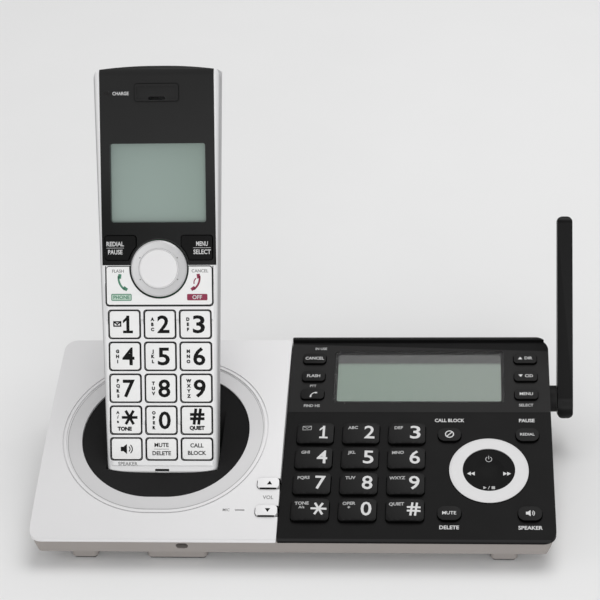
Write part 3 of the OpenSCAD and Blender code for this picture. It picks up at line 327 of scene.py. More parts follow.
def arc(r, start, end, width, x=0.0, y=0.0, steps=24):
    """Part of a ring between two angles in degrees."""
    verts, faces = [], []
    for i in range(steps + 1):
        a = math.radians(start + (end - start) * i / steps)
        for rr in (r - width / 2, r + width / 2):
            verts.append((x + rr * math.cos(a), y + rr * math.sin(a)))
    for i in range(steps):
        faces.append((2 * i, 2 * i + 1, 2 * i + 3, 2 * i + 2))
    return verts, faces


def disc(r, x=0.0, y=0.0, steps=24):
    angles = [2 * math.pi * i / steps for i in range(steps)]
    return polygon(*[(x + r * math.cos(a), y + r * math.sin(a)) for a in angles])


def round_box(w, h, r, x=0.0, y=0.0, steps=6):
    points = []
    for cx, cy, start in ((w / 2 - r, h / 2 - r, 0), (-w / 2 + r, h / 2 - r, 90),
                          (-w / 2 + r, -h / 2 + r, 180), (w / 2 - r, -h / 2 + r, 270)):
        for i in range(steps + 1):
            a = math.radians(start + 90 * i / steps)
            points.append((x + cx + r * math.cos(a), y + cy + r * math.sin(a)))
    return polygon(*points)


def round_box_line(w, h, r, width, x=0.0, y=0.0):
    """Frame of a given width inside the outline of a box with round corners."""
    outer = round_box(w, h, r, x, y)[0]
    inner = round_box(w - 2 * width, h - 2 * width, max(r - width, 0.1), x, y)[0]
    n = len(outer)
    faces = [(i, (i + 1) % n, n + (i + 1) % n, n + i) for i in range(n)]
    return outer + inner, faces


def turned(shapes, angle, x, y):
    """Turns shapes round the origin and moves them to a middle."""
    c, k = math.cos(math.radians(angle)), math.sin(math.radians(angle))
    moved = []
    for points, faces in shapes:
        moved.append(([(x + u * c - v * k, y + u * k + v * c) for u, v in points], faces))
    return moved


def triangle(w, h, x=0.0, y=0.0, turn=0.0):
    return turned([polygon((-w / 2, -h / 2), (w / 2, -h / 2), (0, h / 2))], turn, x, y)[0]


def speaker_icon(size, x=0.0, y=0.0):
    s = size / 2
    return [
        rectangle(0.5 * s, 0.8 * s, x - 0.75 * s, y),
        polygon((x - 0.5 * s, y - 0.4 * s), (x + 0.1 * s, y - 0.9 * s), (x + 0.1 * s, y + 0.9 * s),
                (x - 0.5 * s, y + 0.4 * s)),
        arc(0.55 * s, -50, 50, 0.18 * s, x + 0.1 * s, y, 10),
        arc(0.95 * s, -50, 50, 0.18 * s, x + 0.1 * s, y, 10),
    ]


def envelope_icon(w, h, x=0.0, y=0.0, width=0.25):
    left, right, low, high = x - w / 2, x + w / 2, y - h / 2, y + h / 2
    return [
        stroke([(left, low), (right, low), (right, high), (left, high), (left, low)], width),
        stroke([(left, high), (x, y - h * 0.1), (right, high)], width),
    ]


def handset_icon(size, side, angle, x=0.0, y=0.0):
    """Bowed receiver with a thicker lump at each end, bulging to one side and turned."""
    r = size * 0.9
    start = 180 if side > 0 else 0
    inward = r - size * 0.07
    pieces = [arc(r, start - 32, start + 32, size * 0.12, side * r, 0, 12)]
    for end in (-1, 1):
        lump = [math.radians(start + 28 * end), math.radians(start + 34 * end)]
        pieces.append(stroke([(side * r + inward * math.cos(a), inward * math.sin(a)) for a in lump],
                             size * 0.2))
    return turned(pieces, angle, x, y)


def block_icon(r, width, x=0.0, y=0.0):
    d = r * 0.62
    return [arc(r, 0, 360, width, x, y), stroke([(x - d, y - d), (x + d, y + d)], width)]


def star_sign(size, x, y, width):
    arms = []
    for turn in (0, 60, 120):
        a = math.radians(turn)
        dx, dy = size / 2 * math.cos(a), size / 2 * math.sin(a)
        arms.append(stroke([(x - dx, y - dy), (x + dx, y + dy)], width))
    return arms


def hash_sign(w, h, x, y, width):
    return [
        stroke([(x - w * 0.27, y - h / 2), (x - w * 0.13, y + h / 2)], width),
        stroke([(x + w * 0.13, y - h / 2), (x + w * 0.27, y + h / 2)], width),
        stroke([(x - w / 2, y + h * 0.16), (x + w / 2, y + h * 0.16)], width),
        stroke([(x - w / 2, y - h * 0.16), (x + w / 2, y - h * 0.16)], width),
    ]


def digit(name, height, width, stem, x, y, bold):
    """A numeral of a given height and width. The one has a flag and a foot."""
    if name != "1":
        return [words(name, height, x, y, bold, width)]
    foot = width * 0.82
    return [
        rectangle(stem, height, x, y),
        polygon((x - foot / 2, y + height * 0.22), (x, y + height / 2), (x, y + height / 2 - stem * 1.2),
                (x - foot / 2, y + height * 0.22 - stem * 0.9)),
        rectangle(foot, stem * 0.85, x, y - height / 2 + stem * 0.42),
    ]


# Materials

RELIEF = 0.06


def grey(level):
    return (level, level, level)


def material(name, color, rough, spread, patch, grain, bump, metal=0.0, spec=0.5):
    """Surface with soft patches of tone and gloss and a fine grain, both sized in metres."""
    mat = bpy.data.materials.new(name)
    mat.use_nodes = True
    tree = mat.node_tree
    bsdf = tree.nodes["Principled BSDF"]
    where = tree.nodes.new("ShaderNodeTexCoord")
    patches = tree.nodes.new("ShaderNodeTexNoise")
    patches.inputs["Scale"].default_value = 1 / patch
    patches.inputs["Detail"].default_value = 4
    tone = tree.nodes.new("ShaderNodeMix")
    tone.data_type = "RGBA"
    tone.inputs["A"].default_value = (*[c * (1 - spread) for c in color], 1)
    tone.inputs["B"].default_value = (*[min(c * (1 + spread), 1) for c in color], 1)
    gloss = tree.nodes.new("ShaderNodeMapRange")
    gloss.inputs["To Min"].default_value = rough * 0.9
    gloss.inputs["To Max"].default_value = min(rough * 1.1, 1)
    fine = tree.nodes.new("ShaderNodeTexNoise")
    fine.inputs["Scale"].default_value = 1 / grain
    fine.inputs["Detail"].default_value = 2
    relief = tree.nodes.new("ShaderNodeBump")
    relief.inputs["Strength"].default_value = bump
    relief.inputs["Distance"].default_value = RELIEF * MM
    link = tree.links.new
    link(where.outputs["Object"], patches.inputs["Vector"])
    link(where.outputs["Object"], fine.inputs["Vector"])
    link(patches.outputs["Fac"], tone.inputs["Factor"])
    link(patches.outputs["Fac"], gloss.inputs["Value"])
    link(tone.outputs["Result"], bsdf.inputs["Base Color"])
    link(gloss.outputs["Result"], bsdf.inputs["Roughness"])
    link(fine.outputs["Fac"], relief.inputs["Height"])
    link(relief.outputs["Normal"], bsdf.inputs["Normal"])
    bsdf.inputs["Metallic"].default_value = metal
    bsdf.inputs["Specular IOR Level"].default_value = spec
    return mat


def paint(name, color, rough=0.42, patch=0.02, grain=0.00022, bump=0.10):
    return material(name, color, rough, spread=0.02, patch=patch, grain=grain, bump=bump, metal=0.1)


def housing_black(name, color, rough, spec):
    return material(name, color, rough, spread=0.10, patch=0.01, grain=0.0004, bump=0.25, spec=spec)


def key_black(name, color, rough, spec):
    return material(name, color, rough, spread=0.12, patch=0.006, grain=0.0004, bump=0.2, spec=spec)


def film(name, color, spec=0.5):
    return material(name, color, rough=0.35, spread=0.02, patch=0.02, grain=0.0008, bump=0.02, spec=spec)


def ink(name, color, spread=0.05, spec=0.5):
    return material(name, color, rough=0.6, spread=spread, patch=0.001, grain=0.0002, bump=0.1, spec=spec)


silver_paint = paint("silver paint", (0.70, 0.695, 0.70))
volume_paint = paint("volume key paint", (0.74, 0.735, 0.74), patch=0.01)
handset_paint = paint("handset silver", (0.76, 0.76, 0.765), rough=0.40)
back_paint = paint("handset back silver", (0.60, 0.60, 0.61), bump=0.12)
pad_silver = paint("pad silver", (0.72, 0.715, 0.72), rough=0.34, patch=0.01, grain=0.0004, bump=0.06)
control_silver = material("control silver", (0.69, 0.685, 0.69), rough=0.45, spread=0.03, patch=0.004,
                          grain=0.0004, bump=0.08, spec=0.05)
# The tray is the silver paint of the top, painted darker and warmer as painted shade on its faces turned to
# the front and down
tray_shaded_silver = material("tray silver with painted shade", (0.30, 0.275, 0.26), rough=0.55, spread=0.05, patch=0.01,
                        grain=0.0004, bump=0.25)
rubber = material("rubber", grey(0.06), rough=0.85, spread=0.15, patch=0.002, grain=0.0004, bump=0.4)
panel_plastic = housing_black("panel black", (0.0050, 0.0048, 0.0049), rough=0.50, spec=0.08)
cradle_plastic = housing_black("cradle black", (0.0078, 0.0076, 0.0078), rough=0.60, spec=0.14)
dial_plastic = key_black("dial key black", (0.0062, 0.0060, 0.0061), rough=0.45, spec=0.11)
side_plastic = key_black("display key black", (0.0056, 0.0054, 0.0055), rough=0.42, spec=0.10)
corner_plastic = key_black("corner key black", (0.0050, 0.0048, 0.0049), rough=0.42, spec=0.10)
antenna_plastic = material("antenna black", (0.0052, 0.0050, 0.0052), rough=0.38, spread=0.10, patch=0.01,
                           grain=0.0005, bump=0.2, spec=0.12)
fascia_plastic = material("fascia black", grey(0.0205), rough=0.22, spread=0.05, patch=0.02, grain=0.002,
                          bump=0.02, spec=0.10)
soft_plastic = material("soft key black", grey(0.0042), rough=0.40, spread=0.08, patch=0.006,
                        grain=0.0004, bump=0.15, spec=0.08)
key_white = material("key white", (0.83, 0.83, 0.825), rough=0.45, spread=0.015, patch=0.006,
                     grain=0.0004, bump=0.1)
lcd_film = film("display film", (0.242, 0.309, 0.262), spec=0.2)
hs_lcd_film = film("handset display film", (0.25, 0.32, 0.29))
board_green = material("board green", (0.03, 0.16, 0.07), rough=0.45, spread=0.2, patch=0.003,
                       grain=0.0006, bump=0.3)
cell_wrap = material("cell wrap", (0.05, 0.16, 0.42), rough=0.30, spread=0.05, patch=0.004,
                     grain=0.001, bump=0.08)
contact_metal = material("contact metal", (0.75, 0.70, 0.55), rough=0.25, spread=0.05, patch=0.002,
                         grain=0.0004, bump=0.1, metal=1.0)
screw_metal = material("screw metal", (0.45, 0.45, 0.46), rough=0.35, spread=0.08, patch=0.002,
                       grain=0.0003, bump=0.2, metal=1.0)
lamp_dark = material("lamp dark", (0.006, 0.005, 0.005), rough=0.2, spread=0.1, patch=0.001,
                     grain=0.0005, bump=0.05, spec=0.3)
ink_white = ink("ink white", grey(0.62), spread=0.03)
ink_pale = ink("ink pale grey", grey(0.40), spread=0.03)
# Dark ink for print, also used as painted shade in the screw slots
dark_ink_and_slot_shade = ink("dark ink and slot shade", grey(0.006), spread=0.08, spec=0.1)
ink_grey = ink("ink grey", grey(0.17))
ink_green = ink("ink green", (0.060, 0.22, 0.135))
ink_mint = ink("ink pale green", (0.48, 0.62, 0.53))
ink_red = ink("ink red", (0.25, 0.014, 0.055))
# Black used only as painted shade round the openings of the handset's face and in its microphone notch
shade_black = material("painted shade black", grey(0.0055), rough=0.5, spread=0.05, patch=0.002, grain=0.0004,
                     bump=0.1, spec=0.12)

# The lens is thin clear plastic that lets the display's colour through
LENS_ALPHA = 0.06
lens_plastic = material("clear lens", grey(0.2), rough=0.06, spread=0.01, patch=0.02, grain=0.004,
                        bump=0.01)
lens_plastic.node_tree.nodes["Principled BSDF"].inputs["Alpha"].default_value = LENS_ALPHA


# Masks: sockets that are one where a second colour goes, worked out from places on the object

EDGE_SOFT = 0.05


def new_node(mat, kind, operation):
    node = mat.node_tree.nodes.new(kind)
    node.operation = operation
    return node


def math_node(mat, operation, *terms):
    """Result of a calculation on sockets and numbers."""
    node = new_node(mat, "ShaderNodeMath", operation)
    for place, term in zip(node.inputs, terms):
        if isinstance(term, float):
            place.default_value = term
        else:
            mat.node_tree.links.new(term, place)
    return node.outputs[0]


def tint_where(mat, mask, color):
    """Mixes a second colour over the material's own where the mask is one."""
    tree = mat.node_tree
    bsdf = tree.nodes["Principled BSDF"]
    before = bsdf.inputs["Base Color"].links[0].from_socket
    mix = tree.nodes.new("ShaderNodeMix")
    mix.data_type = "RGBA"
    mix.inputs["B"].default_value = (*color, 1)
    tree.links.new(before, mix.inputs["A"])
    tree.links.new(mask, mix.inputs["Factor"])
    tree.links.new(mix.outputs["Result"], bsdf.inputs["Base Color"])


def along(mat, origin, direction):
    """Distance of a point from the origin along a direction, in metres."""
    tree = mat.node_tree
    where = tree.nodes.new("ShaderNodeTexCoord")
    shift = new_node(mat, "ShaderNodeVectorMath", "SUBTRACT")
    shift.inputs[1].default_value = origin
    dot = new_node(mat, "ShaderNodeVectorMath", "DOT_PRODUCT")
    dot.inputs[1].default_value = direction
    tree.links.new(where.outputs["Object"], shift.inputs[0])
    tree.links.new(shift.outputs["Vector"], dot.inputs[0])
    return dot.outputs["Value"]


def step(mat, value, low, high):
    """Rises smoothly from 0 at low to 1 at high, both in millimetres."""
    ramp = mat.node_tree.nodes.new("ShaderNodeMapRange")
    ramp.interpolation_type = "SMOOTHSTEP"
    ramp.inputs["From Min"].default_value = low * MM
    ramp.inputs["From Max"].default_value = high * MM
    mat.node_tree.links.new(value, ramp.inputs["Value"])
    return ramp.outputs["Result"]


def inside(mat, value, limit, soft):
    """One below a limit in millimetres, with a soft edge on both sides of it."""
    return step(mat, value, limit + soft, limit - soft)


def both(mat, *masks):
    joined = masks[0]
    for mask in masks[1:]:
        joined = math_node(mat, "MULTIPLY", joined, mask)
    return joined


def within(mat, value, low, high, soft=EDGE_SOFT):
    """One between two distances in millimetres."""
    return both(mat, step(mat, value, low - soft, low), step(mat, value, high + soft, high))


def share(mat, mask, amount):
    """A mask made weaker, or a distance made shorter."""
    return math_node(mat, "MULTIPLY", mask, float(amount))


def radius_from(mat, middle, up_slope, stretch=0.0):
    """Distance from a middle in a sloping plane, or from a line of that half length across it."""
    across = math_node(mat, "ABSOLUTE", along(mat, middle, X_AXIS))
    across = math_node(mat, "MAXIMUM", math_node(mat, "SUBTRACT", across, stretch * MM), 0.0)
    upward = along(mat, middle, up_slope)
    squares = [math_node(mat, "POWER", math_node(mat, "ABSOLUTE", v), 2.0) for v in (across, upward)]
    return math_node(mat, "POWER", math_node(mat, "ADD", *squares), 0.5)


# Colour of painted shade in gaps and openings and on the sides of keys
GAP_SHADE = grey(0.006)

# Black disc inside the silver ring of the round control, and painted shade on its side
NAV_BLACK = (0.0040, 0.0039, 0.0040)
NAV_SIDE_TOP = 0.25
NAV_SIDE_LOW = 0.1
nav_middle = keypad(NAV.x, NAV.y)
nav_radius = radius_from(control_silver, nav_middle, KEYPAD_ALONG)
nav_height = along(control_silver, nav_middle, KEYPAD_UP)
tint_where(control_silver, inside(control_silver, nav_radius, NAV_DISC_R, EDGE_SOFT), NAV_BLACK)
tint_where(control_silver, step(control_silver, nav_height, NAV_SIDE_TOP, NAV_SIDE_LOW), GAP_SHADE)

# The ring of the dish is a shade darker than the top round it, with a thin line of painted shade along its
# outer edge
RING_SHADE = (0.55, 0.545, 0.55)
RING_EDGE_SHADE = grey(0.20)
RING_LINE_W = 0.2
RING_SOFT = 0.1
RING_SHARE = 0.8
dish_angle = silver_angle(DISH.y)
dish_along = Vector((0, math.cos(dish_angle), math.sin(dish_angle)))
ring_radius = radius_from(silver_paint, silver(DISH.x, DISH.y), dish_along, DISH_HALF)
ring_face = inside(silver_paint, ring_radius, RING_FACE_R, RING_SOFT)
ring_edge_shade = within(silver_paint, ring_radius, RING_FACE_R, RING_FACE_R + RING_LINE_W)
tint_where(silver_paint, share(silver_paint, ring_face, RING_SHARE), RING_SHADE)
tint_where(silver_paint, share(silver_paint, ring_edge_shade, RING_SHARE), RING_EDGE_SHADE)

# Painted shade in the gaps round the volume keys: on the walls of their openings, and on the front and left
# sides of the keys
VOL_MARGIN = 0.4
VOL_WALL_TOP = -0.15
VOL_WALL_FULL = -0.3
VOL_EDGE_START = 0.12
VOL_EDGE_FULL = 0.02
for key_y in (VOL_UP_Y, VOL_DOWN_Y):
    angle = silver_angle(key_y)
    key_along = Vector((0, math.cos(angle), math.sin(angle)))
    key_up = Vector((0, -math.sin(angle), math.cos(angle)))
    middle = silver(VOL_X, key_y)
    half_w, half_h = VOL_W / 2 + VOL_MARGIN, VOL_H / 2 + VOL_MARGIN
    opening_shade = both(silver_paint,
                   within(silver_paint, along(silver_paint, middle, X_AXIS), -half_w, half_w),
                   within(silver_paint, along(silver_paint, middle, key_along), -half_h, half_h),
                   step(silver_paint, along(silver_paint, middle, key_up), VOL_WALL_TOP, VOL_WALL_FULL))
    tint_where(silver_paint, opening_shade, GAP_SHADE)
    from_middle = along(volume_paint, middle, key_along)
    this_key = within(volume_paint, from_middle, -VOL_H, VOL_H)
    front_edge_shade = step(volume_paint, from_middle, -VOL_H / 2 + VOL_EDGE_START, -VOL_H / 2 + VOL_EDGE_FULL)
    tint_where(volume_paint, both(volume_paint, this_key, front_edge_shade), GAP_SHADE)
key_across = along(volume_paint, silver(VOL_X, VOL_UP_Y), X_AXIS)
left_edge_shade = step(volume_paint, key_across, -VOL_W / 2 + VOL_EDGE_START, -VOL_W / 2 + VOL_EDGE_FULL)
tint_where(volume_paint, left_edge_shade, GAP_SHADE)

# Painted shade on the sides of the keys on the two faces of the panel, up to a height over the face
KEY_SIDE_SHADE = grey(0.0018)
KEY_SIDE_FADE = 0.12
for mat, face, face_normal, top in ((dial_plastic, keypad, KEYPAD_UP, 0.95),
                                    (side_plastic, display, DISPLAY_UP, 0.85),
                                    (corner_plastic, keypad, KEYPAD_UP, 0.85)):
    height = along(mat, face(0, 0), face_normal)
    tint_where(mat, step(mat, height, top, top - KEY_SIDE_FADE), KEY_SIDE_SHADE)

# Painted shade on the sides of the handset's keys, from a depth into its face
KEY_GAP_FADE = 0.1
face_foot = handset(0, 0, 0)
for mat, depth in ((key_white, 0.05), (pad_silver, -0.3)):
    tint_where(mat, step(mat, along(mat, face_foot, INTO_FACE), depth, depth + KEY_GAP_FADE), GAP_SHADE)

# Grey sides of the handset, and painted shade on the walls in the openings of its face
HS_SIDE_GREY = (0.40, 0.40, 0.405)
HS_SIDE_START = 0.3
HS_SIDE_FULL = 1.3
HS_SIDE_EDGE = 0.6
HS_SIDE_EDGE_FULL = 0.9
WALL_START = 0.25
WALL_FULL = 0.4
WALL_LOW = 4.5
WALL_LOW_FULL = 5.0
side_depth = along(handset_paint, face_foot, INTO_FACE)
face_across = math_node(handset_paint, "ABSOLUTE", along(handset_paint, face_foot, X_AXIS))
face_up = along(handset_paint, face_foot, UP_FACE)
face_side = math_node(handset_paint, "SUBTRACT", face_across, share(handset_paint, face_up, FACE_TAPER))
wall_depth = side_depth
for band_low, band_high in FACE_BANDS:
    raised = share(handset_paint, within(handset_paint, face_up, band_low, band_high), FACE_RISE * MM)
    wall_depth = math_node(handset_paint, "ADD", wall_depth, raised)
outer_side = both(handset_paint,
                  step(handset_paint, side_depth, HS_SIDE_START, HS_SIDE_FULL),
                  step(handset_paint, face_side, KEYS_SIDE + HS_SIDE_EDGE, KEYS_SIDE + HS_SIDE_EDGE_FULL))
opening_wall_shade = both(handset_paint,
                    step(handset_paint, wall_depth, WALL_START, WALL_FULL),
                    inside(handset_paint, face_side, KEYS_SIDE, EDGE_SOFT),
                    step(handset_paint, face_up, WALL_LOW, WALL_LOW_FULL))
tint_where(handset_paint, outer_side, HS_SIDE_GREY)
tint_where(handset_paint, opening_wall_shade, GAP_SHADE)

# Display face of the panel painted lighter, a painted reflection on its glossier face
DISPLAY_SHEEN = (0.0190, 0.0186, 0.0187)
DISPLAY_FADE = 0.6
panel_s = along(panel_plastic, display(0, 0), DISPLAY_ALONG)
tint_where(panel_plastic, step(panel_plastic, panel_s, 0.0, DISPLAY_FADE), DISPLAY_SHEEN)

# Painted shadow of the rim along its back edge, which grows wider to the right
RIM_SHADOW = (0.0030, 0.0030, 0.0031)
RIM_START = 2.6
RIM_GROWTH = 0.035
RIM_SOFT = 0.3
panel_x = along(panel_plastic, row(PANEL_X, 0, 0), X_AXIS)
rim_width = math_node(panel_plastic, "MULTIPLY_ADD", panel_x, RIM_GROWTH, RIM_START * MM)
from_back = along(panel_plastic, display(0, DISPLAY_LEN), DISPLAY_ALONG * -1)
past_rim = math_node(panel_plastic, "SUBTRACT", from_back, rim_width)
tint_where(panel_plastic, inside(panel_plastic, past_rim, 0.0, RIM_SOFT), RIM_SHADOW)

# Painted shade in the crease between the two faces, and painted highlights along the front lip and the back
# edge
CREASE_SHADE = grey(0.0040)
CREASE_HALF = 0.25
LIP_HIGHLIGHT = (0.022, 0.0215, 0.022)
LIP_LINE = (0.35, 1.0)
LINE_SOFT = 0.2
BACK_HIGHLIGHT = grey(0.035)
BACK_START = 0.7
BACK_FULL = 0.5
panel_y = along(panel_plastic, row(0, 0, 0), Vector((0, 1, 0)))
crease_shade = within(panel_plastic, panel_s, -CREASE_HALF, CREASE_HALF, LINE_SOFT)
front_lip_highlight = within(panel_plastic, panel_y, *LIP_LINE, LINE_SOFT)
back_edge_highlight = step(panel_plastic, panel_y, BASE_D - BACK_START, BASE_D - BACK_FULL)
tint_where(panel_plastic, crease_shade, CREASE_SHADE)
tint_where(panel_plastic, front_lip_highlight, LIP_HIGHLIGHT)
tint_where(panel_plastic, back_edge_highlight, BACK_HIGHLIGHT)

# Paler right half of the base display, and the shade under the window's upper edge
FILM_PALE = (0.270, 0.306, 0.277)
FILM_SHADE = (0.076, 0.077, 0.076)
FILM_FADE = (-20, 30)
FILM_SHARE = 0.6
SHADE_START = -6.0
SHADE_FULL = -3.9
film_x = along(lcd_film, display(WINDOW_X, 0), X_AXIS)
shade_top = along(lcd_film, display(0, WINDOW_S + WINDOW_H / 2), DISPLAY_ALONG)
tint_where(lcd_film, share(lcd_film, step(lcd_film, film_x, *FILM_FADE), FILM_SHARE), FILM_PALE)
tint_where(lcd_film, step(lcd_film, shade_top, SHADE_START, SHADE_FULL), FILM_SHADE)

# Soft fall to the right of the handset's display
HS_FILM_SHADE = (0.215, 0.285, 0.25)
HS_FILM_FADE = (-5, 22)
HS_FILM_SHARE = 0.7
hs_film_x = along(hs_lcd_film, face_foot, X_AXIS)
hs_film_right = step(hs_lcd_film, hs_film_x, *HS_FILM_FADE)
tint_where(hs_lcd_film, share(hs_lcd_film, hs_film_right, HS_FILM_SHARE), HS_FILM_SHADE)

# Outer ring of the navigation pad made darker by painted shade
PAD_RING_SHADE = (0.53, 0.53, 0.535)
PAD_SHARE = 0.85
pad_radius = radius_from(pad_silver, handset(0, 0, PAD_Z), UP_FACE)
pad_ring_shade_mask = step(pad_silver, pad_radius, PAD_MID_R - RING_SOFT, PAD_MID_R + RING_SOFT)
tint_where(pad_silver, share(pad_silver, pad_ring_shade_mask, PAD_SHARE), PAD_RING_SHADE)

# Black blocks of the line socket and the power inlet on the green main board
BLOCK_BLACK = grey(0.008)
block_up = along(board_green, row(0, 0, MAIN_BOARD_TOP), Vector((0, 0, 1)))
block_back = along(board_green, row(0, BASE_D, 0), Vector((0, -1, 0)))
blocks = both(board_green, within(board_green, block_up, BLOCK_LOW, BLOCK_TOP),
              step(board_green, block_back, BLOCK_DEPTH + 0.5, BLOCK_DEPTH))
tint_where(board_green, blocks, BLOCK_BLACK)

# Darker lower end of the fascia
FASCIA_LOW = (0.0038, 0.0041, 0.0040)
FASCIA_FADE = (48.0, 12.0)
fascia_up = along(fascia_plastic, handset(0, 0, FASCIA_Z), UP_FACE)
tint_where(fascia_plastic, step(fascia_plastic, fascia_up, *FASCIA_FADE), FASCIA_LOW)

PAINT = {
    "base_tray": tray_shaded_silver, "base_feet": rubber, "silver_housing": silver_paint,
    "control_panel": panel_plastic, "display_lens": lens_plastic, "base_display": lcd_film,
    "cradle": cradle_plastic, "base_electronics": board_green, "antenna": antenna_plastic,
    "round_control": control_silver, "volume_up_key": volume_paint, "volume_down_key": volume_paint,
    "handset_front": handset_paint, "handset_fascia": fascia_plastic, "handset_back": back_paint,
    "handset_display": hs_lcd_film, "handset_board": board_green, "battery_pack": cell_wrap,
    "battery_door": back_paint, "handset_call_plate": key_white, "handset_nav_pad": pad_silver,
    "handset_soft_key_left": soft_plastic, "handset_soft_key_right": soft_plastic,
    "handset_speaker_key": key_white, "handset_mute_key": key_white, "handset_block_key": key_white,
}
for name in DIAL_NAMES:
    PAINT["dial_key_" + name] = dial_plastic
    PAINT["handset_key_" + name] = key_white
for name in ("find", "flash", "cancel", "menu", "down", "up"):
    PAINT[name + "_key"] = side_plastic
for name in ("mute", "speaker", "call_block", "redial"):
    PAINT[name + "_key"] = corner_plastic
for name, obj in nodes.items():
    obj.data.materials.clear()
    obj.data.materials.append(PAINT[name])

# Rounded edges

SAME_POINT = 0.002
SHARP = math.radians(40)
KEY_EDGE = 0.3
ANTENNA_EDGE = 1.6


def soften(name, width, segments):
    """Rounds the sharp edges of a node a little, as moulded plastic has them."""
    weld = nodes[name].modifiers.new("joined corners", "WELD")
    weld.merge_threshold = SAME_POINT * MM
    bevel = nodes[name].modifiers.new("soft edges", "BEVEL")
    bevel.width = width * MM
    bevel.segments = segments
    bevel.limit_method = "ANGLE"
    bevel.angle_limit = SHARP


for name in DIAL_NAMES:
    soften("dial_key_" + name, KEY_EDGE, 2)
soften("antenna", ANTENNA_EDGE, 3)

# Print, and painted shade laid like print

PRINT_STEP = 1.2
PRINT_CUTS = 4


def add_piece(name, body, mat, mesh):
    mesh.materials.append(mat)
    obj = bpy.data.objects.new(name, mesh)
    scene.collection.objects.link(obj)
    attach(obj, body)


def lay(name, body, mat, shapes, place):
    """One mesh of print or painted shade on a body: flat shapes cut fine enough to follow the surface that
    place gives.
    """
    verts, faces = [], []
    for points, loops in shapes:
        n = len(verts)
        verts += [(u, v, 0) for u, v in points]
        faces += [tuple(n + i for i in loop) for loop in loops]
    mesh = bpy.data.meshes.new(name)
    mesh.from_pydata(verts, [], faces)
    cut = bmesh.new()
    cut.from_mesh(mesh)
    bmesh.ops.triangulate(cut, faces=cut.faces[:])
    for _ in range(PRINT_CUTS):
        long_edges = [e for e in cut.edges if e.calc_length() > PRINT_STEP]
        if long_edges:
            bmesh.ops.subdivide_edges(cut, edges=long_edges, cuts=1)
            bmesh.ops.triangulate(cut, faces=cut.faces[:])
    for vert in cut.verts:
        vert.co = place(vert.co.x, vert.co.y)
    cut.to_mesh(mesh)
    cut.free()
    add_piece(name, body, mat, mesh)


LETTERS = {"2": "ABC", "3": "DEF", "4": "GHI", "5": "JKL", "6": "MNO", "7": "PQRS", "8": "TUV", "9": "WXYZ"}

# Dial keys of the base: a large sign on the right, small letters at the upper left
SIGN_X = 3.6
SIGN_Y = 0.2
LETTER_X = -3.5
LETTER_Y = 2.7
LETTER_H = 1.6
UPPER_Y = 2.9
LOWER_Y = 0.9


def dial_sign(name):
    if name == "star":
        return star_sign(5.6, SIGN_X, SIGN_Y, width=0.95)
    if name == "hash":
        return hash_sign(4.7, 5.6, SIGN_X, SIGN_Y, width=0.9)
    return digit(name, height=6.7, width=4.4, stem=1.0, x=SIGN_X, y=SIGN_Y + 0.1, bold=PLAIN)


def dial_letters(name):
    if name == "star":
        return [words("TONE", LETTER_H, LETTER_X, UPPER_Y, SMALL),
                words("A/a", 1.3, LETTER_X, LOWER_Y, SMALL)]
    if name == "hash":
        return [words("QUIET", LETTER_H, LETTER_X, LETTER_Y, SMALL)]
    if name == "0":
        return [words("OPER", LETTER_H, LETTER_X, UPPER_Y, SMALL),
                words("+", LETTER_H, LETTER_X, LOWER_Y, bold=0.05)]
    if name == "1":
        return envelope_icon(3.6, 2.0, LETTER_X - 0.1, LETTER_Y - 0.3)
    return [words(LETTERS[name], LETTER_H, LETTER_X, LETTER_Y, SMALL)]


for i, name in enumerate(DIAL_NAMES):
    node = "dial_key_" + name
    place = crowned_on(keypad, DIAL_X[i % 3], DIAL_S[i // 3], DIAL_PROUD)
    lay(node + "_print", node, ink_white, dial_sign(name), place)
    lay(node + "_small_print", node, ink_pale, dial_letters(name), place)

# Keys beside the display: side, place from the front, shapes
SIDE_H = 1.5
ARROW = (1.9, 1.4, -2.2, 0)
side_labels = {
    "find_key": ("left", 0, turned(handset_icon(3.4, 1, 0), -50, 0, 0)),
    "flash_key": ("left", 1, [words("FLASH", SIDE_H)]),
    "cancel_key": ("left", 2, [words("CANCEL", SIDE_H)]),
    "menu_key": ("right", 0, [words("MENU", SIDE_H)]),
    "down_key": ("right", 1, [triangle(*ARROW, 180), words("CID", SIDE_H, 1.4)]),
    "up_key": ("right", 2, [triangle(*ARROW), words("DIR", SIDE_H, 1.4)]),
}
for node, (side, number, shapes) in side_labels.items():
    place = crowned_on(display, SIDE_X[side], SIDE_S[number], KEY_PROUD)
    lay(node + "_print", node, ink_white, shapes, place)

# Keys round the round control: side, place along the face, shapes
corner_labels = {
    "mute_key": (-1, CORNER_FRONT_S, [words("MUTE", 1.6)]),
    "speaker_key": (1, CORNER_FRONT_S, speaker_icon(3.4)),
    "call_block_key": (-1, CORNER_BACK_S, block_icon(1.7, 0.45)),
    "redial_key": (1, CORNER_BACK_S, [words("REDIAL", 1.35)]),
}
for node, (side, along_face, shapes) in corner_labels.items():
    place = crowned_on(keypad, NAV.x + side * CORNER_X, along_face, KEY_PROUD)
    lay(node + "_print", node, ink_white, shapes, place)

# Words on the two faces of the panel: text, x, place along the face, width or cap height
PANEL_H = 1.8
BACK_WORD_S = 60.7
FRONT_WORD_S = 5.5
keypad_words = [
    ("CALL BLOCK", NAV.x - CORNER_X, BACK_WORD_S, 12.6), ("PAUSE", NAV.x + CORNER_X, BACK_WORD_S, 6.6),
    ("DELETE", NAV.x - CORNER_X, FRONT_WORD_S, 8.0), ("SPEAKER", NAV.x + CORNER_X, FRONT_WORD_S, 9.8),
]
display_words = [
    ("IN USE", 115.2, 34.4, 1.3), ("PTT", 112.6, 14.2, 1.2), ("FIND HS", 112.6, 3.7, 1.4),
    ("SELECT", 205.0, 4.1, 1.4),
]
lay("keypad_print", "base", ink_white, [words(t, PANEL_H, x, s, STRONG, w) for t, x, s, w in keypad_words],
    flat_on(keypad))
lay("display_print", "base", ink_pale, [words(t, h, x, s, SMALL) for t, x, s, h in display_words],
    flat_on(display))

